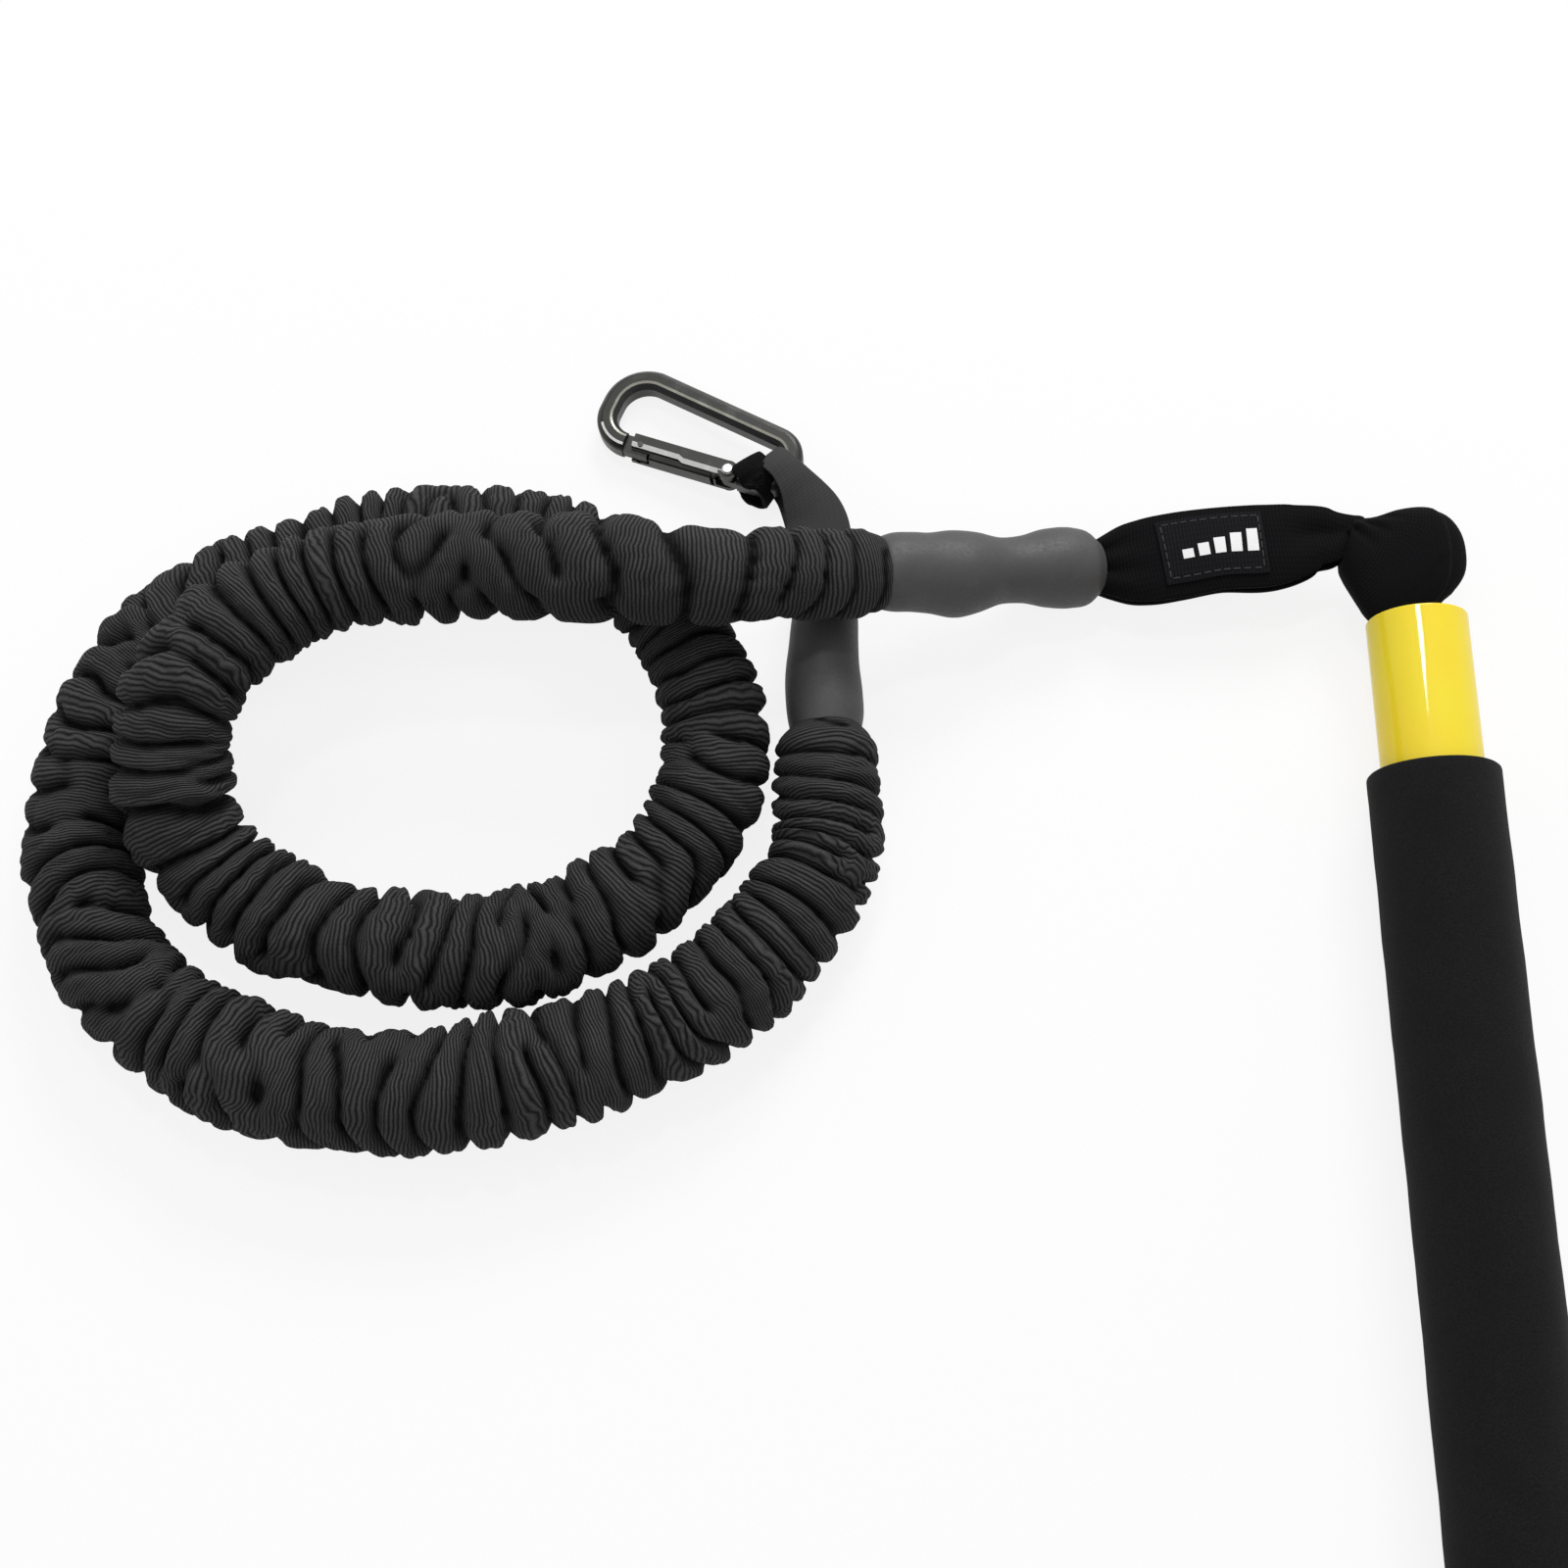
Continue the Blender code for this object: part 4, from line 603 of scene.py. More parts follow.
def floor_finish():
    """White board that keeps a faint shadow."""
    made, tree, board = new_finish("pale_floor", FLOOR_WHITE)
    fed(tree, board, {"Base Color": FLOOR_WHITE, "Roughness": 0.9, "Specular IOR Level": 0.0})
    white = node(tree, "ShaderNodeEmission", {"Color": (1.0, 1.0, 1.0, 1.0), "Strength": 1.0})
    share = maths(tree, "MULTIPLY", seen_rays(tree), FLOOR_OWN_WHITE)
    mixed = node(
        tree, "ShaderNodeMixShader", {0: share, 1: board.outputs[0], 2: white.outputs[0]}
    )
    fed(tree, tree.nodes["Material Output"], {"Surface": mixed.outputs[0]})
    return made


# Woven finishes: the setting of the colour, the share of it and what else differs
WOVEN_FINISHES = {
    "bar_webbing": ("webbing", 1.0, {}),
    "clip_webbing": ("clip_webbing", 1.0, {"painted_valley_shade": 0.88, "depth": 0.00005}),
    "label_cloth": ("webbing", 2.4, {}),
}
# Plain finishes: the colour or its setting, the roughness, the grain's size and what differs
PLAIN_FINISHES = {
    "cap_plastic": ("cap", 0.5, 0.0004, {}),
    "shrink_rubber": ("shrink", 0.60, 0.0009, {"wear": 0.15, "depth": 0.00006}),
    "clip_anodised": ("clip", 0.36, 0.0004, {"metallic": 0.75, "wear": 0.5}),
    # The next three paint light on the carabiner: two painted highlights and a painted shade
    "clip_edge": ((0.74, 0.74, 0.72, 1.0), 0.35, 0.0005, {"metallic": 0.2, "wear": 0.6}),
    "clip_rubbed": ((0.26, 0.255, 0.22, 1.0), 0.35, 0.0004, {"metallic": 0.4, "wear": 0.6}),
    "clip_shade": ((0.012, 0.012, 0.013, 1.0), 0.5, 0.0004, {"metallic": 0.3}),
    "dark_steel": ((0.06, 0.06, 0.062, 1.0), 0.4, 0.0005, {"metallic": 0.8}),
    "steel": ((0.62, 0.62, 0.63, 1.0), 0.28, 0.0006, {"metallic": 1.0}),
    "latex": ((0.62, 0.45, 0.24, 1.0), 0.45, 0.0008, {}),
    "nylon": ((0.80, 0.79, 0.75, 1.0), 0.40, 0.0006, {}),
    "thread": ((0.016, 0.016, 0.018, 1.0), 0.8, 0.0003, {}),
    "label_print": ("print", 0.7, 0.0003, {}),
}


def finish_named(name):
    """A material, made the first time that a piece asks for it."""
    found = bpy.data.materials.get(name)
    if found:
        return found
    shown = {key: tuple(getattr(colours(), key)) for key in CordBarColours.__annotations__}
    if name in PLAIN_FINISHES:
        base, roughness, size, settings = PLAIN_FINISHES[name]
        return plain_finish(name, shown.get(base, base), roughness, size, **settings)
    if name in WOVEN_FINISHES:
        key, share, settings = WOVEN_FINISHES[name]
        return webbing(name, shaded(shown[key], share), **settings)
    own = {"tube_paint": tube_paint, "grip_foam": foam_finish, "gathered_cloth": sleeve_cloth}
    return own[name]()


# Modelling

def alone(piece):
    """Selects one piece and makes it the active one."""
    bpy.ops.object.select_all(action="DESELECT")
    piece.select_set(True)
    bpy.context.view_layer.objects.active = piece


def named(piece, name):
    piece.name = name
    piece.data.name = name
    return piece


def added(operator, name, **settings):
    """Adds a primitive with nothing else selected, under its name."""
    bpy.ops.object.select_all(action="DESELECT")
    operator(**settings)
    return named(bpy.context.object, name)


def merged(pieces, name):
    """Joins pieces into one, under its name."""
    alone(pieces[0])
    for piece in pieces:
        piece.select_set(True)
    bpy.ops.object.join()
    return named(bpy.context.object, name)


@contextmanager
def editing(piece):
    alone(piece)
    bpy.ops.object.mode_set(mode="EDIT")
    yield
    bpy.ops.object.mode_set(mode="OBJECT")


def pick(piece, kind, test):
    """In edit mode, selects the faces, edges or vertices that pass a test, and no others."""
    bpy.ops.mesh.select_mode(type=kind)
    bpy.ops.mesh.select_all(action="DESELECT")
    work = bmesh.from_edit_mesh(piece.data)
    for part in {"FACE": work.faces, "EDGE": work.edges, "VERT": work.verts}[kind]:
        if test(part):
            part.select_set(True)
    work.select_flush_mode()
    bmesh.update_edit_mesh(piece.data)


def everything():
    """In edit mode, selects all."""
    bpy.ops.mesh.select_all(action="SELECT")


def extruded(*way):
    """In edit mode, extrudes what is selected."""
    bpy.ops.mesh.extrude_region_move(TRANSFORM_OT_translate={"value": way})


def resized(shares, about):
    """In edit mode, resizes what is selected about a place."""
    bpy.ops.transform.resize(value=shares, center_override=about)


def faces_out():
    """In edit mode, turns all faces outwards."""
    everything()
    bpy.ops.mesh.normals_make_consistent(inside=False)


def modified(piece, kind, **settings):
    """Adds a modifier and applies it."""
    alone(piece)
    step = piece.modifiers.new(kind.lower(), kind)
    for key, value in settings.items():
        setattr(step, key, value)
    bpy.ops.object.modifier_apply(modifier=step.name)


def settled(piece, place=None):
    """Moves the piece by a matrix and leaves its object at the origin, unturned, unscaled."""
    alone(piece)
    if place is not None:
        piece.matrix_world = place @ piece.matrix_world
    bpy.ops.object.transform_apply(location=True, rotation=True, scale=True)


def smooth(piece, below=None):
    """Smooth shading, all over or only where faces meet below an angle in degrees."""
    alone(piece)
    if below is None:
        bpy.ops.object.shade_smooth()
    else:
        bpy.ops.object.shade_smooth_by_angle(angle=radians(below))


def dressed(piece, finish, slot, body, *nodes):
    """Gives a finished piece its material, its body and the nodes it stands for. The slot is not
    used.
    """
    if finish:
        piece.data.materials.append(finish_named(finish))
    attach(piece, body)
    if nodes:
        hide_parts(*nodes)


def turned_along(place, way):
    """The matrix that puts a piece at a place with its own Z along a way."""
    return Matrix.Translation(place) @ Vector(way).to_track_quat("Z", "Y").to_matrix().to_4x4()


def drawn_out(name, rows, sides):
    """A circle drawn out along Z by extruding it ring by ring: (height, radius) rows."""
    height, radius = rows[0]
    piece = added(
        bpy.ops.mesh.primitive_circle_add, name, vertices=sides, radius=radius,
        location=(0.0, 0.0, height),
    )
    settled(piece)
    with editing(piece):
        everything()
        for (low, before), (high, after) in zip(rows, rows[1:]):
            extruded(0.0, 0.0, high - low)
            share = after / before
            resized((share, share, 1.0), (0.0, 0.0, high))
    return piece


def places_of(piece):
    flat = np.empty(len(piece.data.vertices) * 3)
    piece.data.vertices.foreach_get("co", flat)
    return flat.reshape(-1, 3)


def move_to(piece, places):
    piece.data.vertices.foreach_set("co", np.asarray(places, dtype=float).ravel())
    piece.data.update()


# Cord

def hermite(first, second, out, into, share):
    square = share * share
    cube = square * share
    return (
        first * (2 * cube - 3 * square + 1) + out * (cube - 2 * square + share)
        + second * (3 * square - 2 * cube) + into * (cube - square)
    )


def cord_line():
    """The cord's middle line from strap to strap: rows of x, y, z and sleeve radius."""
    bar_way = np.array(Vector(BAR_END_HEADING).normalized())
    clip_way = np.array(Vector(CLIP_END_HEADING).normalized())
    knots = np.array(CORD_ROUTE) + np.array((*HITCH, 0.0))
    tangents = (knots[2:] - knots[:-2]) / 2
    first_step = np.linalg.norm((knots[1] - knots[0])[:3])
    last_step = np.linalg.norm((knots[-1] - knots[-2])[:3])
    tangents = np.vstack([
        (*(-bar_way * first_step), 0.0), tangents, (*(clip_way * last_step), 0.0)
    ])
    bar_lead = SHRINK_LENGTH_BAR + SLEEVE_STRAIGHT
    clip_lead = SHRINK_LENGTH_CLIP + SLEEVE_STRAIGHT
    start = np.array((*(knots[0][:3] + bar_way * bar_lead), SLEEVE_END_RADIUS))
    finish = np.array((*(knots[-1][:3] + clip_way * clip_lead), SLEEVE_END_RADIUS))
    steps = ceil(bar_lead / ROUTE_STEP)
    fine = [start + (knots[0] - start) * i / steps for i in range(steps)]
    for index in range(len(knots) - 1):
        reach = np.linalg.norm((knots[index + 1] - knots[index])[:3])
        steps = ceil(reach / ROUTE_STEP)
        ends = (knots[index], knots[index + 1], tangents[index], tangents[index + 1])
        fine += [hermite(*ends, i / steps) for i in range(steps)]
    steps = ceil(clip_lead / ROUTE_STEP)
    fine += [knots[-1] + (finish - knots[-1]) * i / steps for i in range(steps + 1)]
    return np.array(fine)


def lengths_along(line):
    steps = np.linalg.norm(np.diff(line[:, :3], axis=0), axis=1)
    return np.concatenate([[0.0], np.cumsum(steps)])


def at_lengths(line, runs, wanted):
    return np.stack([np.interp(wanted, runs, line[:, i]) for i in range(line.shape[1])], axis=1)


def unit(rows):
    return rows / np.linalg.norm(rows, axis=-1, keepdims=True)


def bell(value, middle, width):
    return np.exp(-(((value - middle) / width) ** 2))


def between(field, i, j, after, beside, a, b):
    """A grid's values between two rows and two columns, by the shares of the way."""
    return (
        field[i, j] * (1 - a) * (1 - b) + field[after, j] * a * (1 - b)
        + field[i, beside] * (1 - a) * b + field[after, beside] * a * b
    )


def fold_field(rows_per_fold, folds_round, straighten, seed):
    """Folds as gathered cloth takes them: waves of one pitch that grow out of noise round the
    tube until creases branch and end. Creases are near -1 and crests near 1."""
    drive, tilt, step, passes = 0.90, -0.32, 0.5, 22
    height = np.random.default_rng(seed).normal(0.0, 0.15, (SLEEVE_ROWS, SLEEVE_COLUMNS))
    along = np.fft.fftfreq(SLEEVE_ROWS)[:, None] * rows_per_fold
    around = np.fft.rfftfreq(SLEEVE_COLUMNS)[None, :] * SLEEVE_COLUMNS / folds_round
    growth = drive - (1.0 - along**2 - around**2) ** 2 - straighten * around**2
    gain = 1.0 / (1.0 - step * growth)
    for _ in range(passes):
        pushed = height + step * (tilt * height**2 - height**3)
        height = np.fft.irfft2(np.fft.rfft2(pushed) * gain, s=height.shape)
    return height / np.percentile(np.abs(height), 92)


def drift(rows_across, columns_across, seed):
    """Smooth random drift over the sleeve's grid, about as wide as the two counts."""
    height = np.random.default_rng(seed).normal(0.0, 1.0, (SLEEVE_ROWS, SLEEVE_COLUMNS))
    along = np.fft.fftfreq(SLEEVE_ROWS)[:, None] * rows_across
    around = np.fft.rfftfreq(SLEEVE_COLUMNS)[None, :] * columns_across
    kept = np.exp(-3.0 * (along**2 + around**2))
    height = np.fft.irfft2(np.fft.rfft2(height) * kept, s=height.shape)
    return np.clip(height / height.std(), -2.0, 2.0)


def shifted(field, rows_by, columns_by):
    """A field read from places that are moved over the sleeve's grid."""
    rows, columns = np.indices(field.shape)
    row = (rows + rows_by) % field.shape[0]
    column = (columns + columns_by) % field.shape[1]
    i, j = row.astype(int), column.astype(int)
    after, beside = (i + 1) % field.shape[0], (j + 1) % field.shape[1]
    return between(field, i, j, after, beside, row - i, column - j)


def puffed(waves, middle, gain):
    """Round puffs with narrow creases between them, from waves of -1 to 1."""
    crest = np.clip(middle + gain * waves, 0.0, 1.0)
    return np.sqrt(1.0 - (1.0 - crest) ** 2)


def cloth_folds(rows_per_fold, seed):
    """How far the gathered cloth stands out at each point: 0 in a crease, about 1 on a puff."""
    rows_by, columns_by = drift(26, 26, seed + 1), drift(26, 30, seed + 2)
    height = 0.0
    for index, layer in enumerate(FOLD_LAYERS):
        pitch, count, straighten, along_by, round_by, level, gain, share = layer
        waves = fold_field(rows_per_fold * pitch, FOLDS_ROUND * count, straighten, seed + 3 * index)
        waves = shifted(waves, rows_by * along_by, columns_by * round_by)
        height = height + puffed(waves, level, gain) * share
    return height * (0.88 + 0.13 * drift(18, 26, seed + 4))


def gather_rows(length):
    """Row places along the sleeve, closer where its folds are closer, with depths there."""
    shares, pitches, depths = np.array(GATHERS).T
    fine = np.linspace(0.0, 1.0, 4000)
    density = 1.0 / np.interp(fine, shares, pitches)
    count = np.concatenate([[0.0], np.cumsum((density[1:] + density[:-1]) / 2 * np.diff(fine))])
    folds = count[-1] * length
    rows = np.interp(np.linspace(0.0, count[-1], SLEEVE_ROWS), count, fine)
    return rows * length, np.interp(rows, shares, depths), SLEEVE_ROWS / folds


def smoothed(values, reach, axis=0):
    """Values with a running mean over a number of rows, mirrored at the ends."""
    pad = [(0, 0)] * values.ndim
    pad[axis] = (reach, reach)
    wide = np.pad(values, pad, mode="reflect")
    total = np.cumsum(wide, axis=axis)
    total = np.concatenate([np.zeros_like(np.take(total, [0], axis)), total], axis=axis)
    window = 2 * reach + 1
    high = np.take(total, range(window, total.shape[axis]), axis)
    low = np.take(total, range(0, total.shape[axis] - window), axis)
    return (high - low) / window


def build_sleeve():
    """The gathered cloth over the elastic tube, as one closed surface."""
    line = cord_line()
    runs = lengths_along(line)
    start = SHRINK_LENGTH_BAR - SLEEVE_LAP
    length = runs[-1] - SHRINK_LENGTH_BAR - SHRINK_LENGTH_CLIP + 2 * SLEEVE_LAP
    along, depths, rows_per_fold = gather_rows(length)
    middle = at_lengths(line, runs, start + along)
    ahead = at_lengths(line, runs, start + along + ROUTE_STEP)
    behind = at_lengths(line, runs, start + along - ROUTE_STEP)
    way = unit(ahead[:, :3] - behind[:, :3])
    side = unit(np.cross(np.array(UP), way))
    top = np.cross(way, side)

    seed = sizes().fold_seed
    shape = cloth_folds(rows_per_fold, seed)
    depth = depths[:, None]
    radius = middle[:, 3:4] + PUFF_REACH - depth * (PUFF_FULL - shape)
    ends = np.minimum(along, length - along) / (SLEEVE_LAP * 2.4)
    ends = np.clip(ends, 0.0, 1.0)[:, None]
    radius = SLEEVE_TUCKED + (radius - SLEEVE_TUCKED) * ends * ends * (3 - 2 * ends)

    angle = np.linspace(0.0, 2 * pi, SLEEVE_COLUMNS + 1)[:-1]
    out = (
        side[:, None, :] * np.cos(angle)[None, :, None]
        + top[:, None, :] * np.sin(angle)[None, :, None]
    )
    lean = np.interp(along / length, np.linspace(0, 1, len(FOLD_LEAN)), FOLD_LEAN)
    slip = (shape - 0.6) * depth * LEAN_SHARE * lean[:, None] * ends
    places = middle[:, None, :3] + out * radius[:, :, None] + way[:, None, :] * slip[:, :, None]
    places[:, :, 2] = np.maximum(places[:, :, 2], LEAST_HEIGHT)

    # Ribs follow the cloth, so they count its length over the folds, not along the cord
    cloth = run_over(places, 0)
    local = cloth - smoothed(cloth, 22)
    local -= smoothed(local, 22)
    bow = drift(34, 30, seed + 5) * RIB_BOW
    ribs = cloth.mean(axis=1, keepdims=True) + local * RIB_FOLLOWS + bow
    ribs = ribs / sizes().rib_pitch

    sleeve = added(
        bpy.ops.mesh.primitive_grid_add, "sleeve_cloth",
        x_subdivisions=SLEEVE_COLUMNS, y_subdivisions=SLEEVE_ROWS - 1, size=1.0,
    )
    wrapped = np.concatenate([places, places[:, :1]], axis=1)
    move_to(sleeve, wrapped.reshape(-1, 3))
    # The fold height also goes to the finish, as the mask for painted shade in the creases
    for name, values in (("rib", ribs), ("fold", shape)):
        attribute = sleeve.data.attributes.new(name, "FLOAT", "POINT")
        values = np.concatenate([values, values[:, :1]], axis=1).astype(np.float32)
        attribute.data.foreach_set("value", values.ravel())
    with editing(sleeve):
        everything()
        bpy.ops.mesh.remove_doubles(threshold=0.0000005)
        pick(sleeve, "EDGE", lambda edge: edge.is_boundary)
        bpy.ops.mesh.fill(use_beauty=False)
        faces_out()
    smooth(sleeve)
    dressed(sleeve, "gathered_cloth", "sleeve_black", "cord", "gathered_sleeve")
    path = at_lengths(line, runs, np.linspace(start, start + length, PATH_POINTS))[:, :3]
    return sleeve, path, length


def smooth_rows(table, count):
    """Rows between those of a table, on smooth curves evenly spaced by its first column."""
    table = np.array(table)
    knots, values = table[:, 0], table[:, 1:]
    slopes = np.gradient(values, knots, axis=0)
    wanted = np.linspace(knots[0], knots[-1], count)
    index = np.clip(np.searchsorted(knots, wanted, side="right") - 1, 0, len(knots) - 2)
    reach = (knots[index + 1] - knots[index])[:, None]
    share = (wanted[:, None] - knots[index][:, None]) / reach
    ends = (values[index], values[index + 1], slopes[index] * reach, slopes[index + 1] * reach)
    return wanted, hermite(*ends, share)


def strung(table):
    """A table with the length along its own places put before it."""
    table = np.array(table)
    return np.column_stack([lengths_along(table), table])


def cloth_surface(name, places, closed=False):
    """A grid laid through rows of places, with a map in metres along and across it. Where it
    is closed, its first and last places meet."""
    rows, columns = places.shape[:2]
    piece = added(
        bpy.ops.mesh.primitive_grid_add, name,
        x_subdivisions=columns - 1, y_subdivisions=rows - 1, size=1.0,
    )
    move_to(piece, places.reshape(-1, 3))
    while piece.data.uv_layers:
        piece.data.uv_layers.remove(piece.data.uv_layers[0])
    layer = piece.data.uv_layers.new(name="cloth")
    corners = np.empty(len(piece.data.loops), dtype=np.int32)
    piece.data.loops.foreach_get("vertex_index", corners)
    flat = np.stack([run_over(places, axis).ravel() for axis in (0, 1)], axis=1)[corners]
    layer.data.foreach_set("uv", flat.astype(np.float32).ravel())
    if closed:
        with editing(piece):
            everything()
            bpy.ops.mesh.remove_doubles(threshold=0.000002)
    return piece


def run_over(places, axis):
    """Length along each line of a grid of places."""
    steps = np.linalg.norm(np.diff(places, axis=axis), axis=2)
    first = np.zeros_like(np.take(steps, [0], axis))
    return np.concatenate([first, np.cumsum(steps, axis=axis)], axis=axis)


def ply_rows(table, count, columns):
    """Middle, way across, way up and the other values of a strap's rows."""
    _, rows = smooth_rows(strung(table), count)
    middle = rows[:, :3] + np.array(HITCH)
    way = unit(np.gradient(middle, axis=0))
    across = unit(np.cross(np.array(UP), way))
    level = np.cross(way, across)
    return middle, across, level, rows[:, 3], rows[:, 4], np.linspace(-1.0, 1.0, columns)


def strap_loop(name, table, count, columns, shape, end_reach=1.0):
    """A loop of webbing: its upper ply, the fold at the far end, the lower ply and the fold at
    the start. The shape gives how far the upper ply stands up and the lower one to the side."""
    middle, across, level, half_width, spread, u = ply_rows(table, count, columns)
    lift, slip = shape(np.linspace(0.0, 1.0, count)[:, None], u[None, :])
    side = across[:, None, :] * (half_width[:, None] * u[None, :])[:, :, None]
    rise = level[:, None, :]
    upper = middle[:, None, :] + side + rise * (spread[:, None] + lift)[:, :, None]
    moved = across[:, None, :] * slip[:, :, None]
    lower = middle[:, None, :] + side + moved - rise * (spread[:, None] - lift * 0.25)[:, :, None]

    def fold(row, at_start):
        way = unit(middle[row] - middle[row + (1 if row == 0 else -1)])
        turned = []
        for i in range(1, 12):
            angle = pi * i / 12
            share = (1 - cos(angle)) / 2
            if at_start:
                share = 1 - share
            base = upper[row] * (1 - share) + lower[row] * share
            bulge = way[None, :] * (spread[row] * sin(angle) * (1.0 if at_start else end_reach))
            turned.append(base + bulge)
        return np.array(turned)

    ring = [upper, fold(count - 1, False), lower[::-1], fold(0, True), upper[:1]]
    piece = cloth_surface(name, np.concatenate(ring), closed=True)
    modified(piece, "SOLIDIFY", thickness=sizes().webbing_thickness, offset=0.0)
    modified(piece, "SUBSURF", levels=1, render_levels=1)
    smooth(piece)
    return piece, upper


def bar_strap_shape(share, u):
    """Crown, gathers towards the shrink sleeve and a hollow towards the hitch."""
    crown = 0.0011 * (1 - u * u)
    ripples = bell(share, 0.66, 0.10) * 0.0007 * np.cos(9.0 * u + 0.8)
    hollow = -0.0021 * bell(share, 0.10, 0.07) * bell(u, -0.05, 0.38)
    curl = -0.0010 * np.abs(u) ** 3 * bell(share, 0.33, 0.3)
    slip = -0.0009 * bell(share, 0.40, 0.16) * np.ones_like(u)
    return crown + ripples + hollow + curl, slip


def clip_strap_shape(share, u):
    """Crown, gathers towards the shrink sleeve and a slight twist."""
    crown = 0.0008 * (1 - u * u)
    ripples = bell(share, 0.72, 0.14) * 0.0006 * np.cos(7.0 * u + 0.5)
    twist = 0.0012 * u * bell(share, 0.35, 0.2)
    return crown + ripples + twist, np.zeros_like(u * share)


def surface_at(places, row, column):
    """A point between the places of a grid, by its row and column."""
    row = np.clip(row, 0, places.shape[0] - 1.001)
    column = np.clip(column, 0, places.shape[1] - 1.001)
    i, j = row.astype(int), column.astype(int)
    return between(places, i, j, i + 1, j + 1, (row - i)[..., None], (column - j)[..., None])


def build_label(upper, free_share):
    """The label on the strap's upper ply with its level blocks and its stitches."""
    count, columns = upper.shape[:2]
    first, last = (share * free_share * (count - 1) for share in LABEL_ALONG)
    low, high = ((edge + 1) / 2 * (columns - 1) for edge in LABEL_ACROSS)
    long, wide = last - first, high - low
    lift = np.array((0.0, 0.0, sizes().webbing_thickness / 2))

    def patch(name, r0, r1, c0, c1, cells, up, thickness):
        rows, cols = np.meshgrid(
            np.linspace(r0, r1, cells[0]), np.linspace(c0, c1, cells[1]), indexing="ij"
        )
        places = surface_at(upper, rows, cols) + lift + np.array((0.0, 0.0, up))
        piece = cloth_surface(name, places)
        modified(piece, "SOLIDIFY", thickness=thickness, offset=0.0)
        return piece

    edges = (first, last, low, high)
    label = patch("label_patch", *edges, LABEL_CELLS, LABEL_LIFT, LABEL_THICKNESS)
    smooth(label, 35)
    dressed(label, "label_cloth", "label_black", "cord", "strap_label")

    blocks = []
    for index in range(LABEL_BLOCKS):
        start = first + long * (BLOCK_START - BLOCK_PITCH * index)
        foot = low + wide * BLOCK_FOOT
        top = foot - wide * (BLOCK_HEIGHT + BLOCK_GROWTH * index)
        edges = (start, start - long * BLOCK_LENGTH, top, foot)
        blocks.append(patch(f"block_{index}", *edges, BLOCK_CELLS, PRINT_LIFT, BLOCK_THICKNESS))
    blocks = merged(blocks, "label_level_blocks")
    with editing(blocks):
        everything()
        bpy.ops.mesh.remove_doubles(threshold=0.000001)
        faces_out()
    dressed(blocks, "label_print", "label_black", "cord")

    stitch = added(
        bpy.ops.mesh.primitive_cylinder_add, "label_stitches",
        vertices=8, radius=STITCH_RADIUS, depth=STITCH_LENGTH,
    )
    with editing(stitch):
        pick(stitch, "FACE", lambda face: abs(face.normal.z) > 0.9)
        bpy.ops.mesh.bevel(offset=STITCH_ROUNDING, segments=2)
    along_by, across_by = long * STITCH_INSET[0], wide * STITCH_INSET[1]
    r0, r1 = first + along_by, last - along_by
    c0, c1 = low + across_by, high - across_by
    corners = [(r0, c0), (r1, c0), (r1, c1), (r0, c1)]
    stitches = []
    for (r0, c0), (r1, c1) in zip(corners, corners[1:] + corners[:1]):
        ends = surface_at(upper, np.array([r0, r1]), np.array([c0, c1]))
        count = max(2, round(float(np.linalg.norm(ends[1] - ends[0])) / STITCH_PITCH))
        for i in range(count):
            share = np.array([(i + 0.2) / count, (i + 0.8) / count])
            pair = surface_at(upper, r0 + (r1 - r0) * share, c0 + (c1 - c0) * share) + lift
            place = pair.mean(axis=0) + np.array((0.0, 0.0, PRINT_LIFT))
            made = stitch.copy()
            made.data = stitch.data.copy()
            bpy.context.collection.objects.link(made)
            settled(made, turned_along(Vector(place), Vector(pair[1] - pair[0])))
            stitches.append(made)
    bpy.data.objects.remove(stitch, do_unlink=True)
    stitches = merged(stitches, "label_stitches")
    smooth(stitches, 35)
    dressed(stitches, "thread", "label_black", "cord")


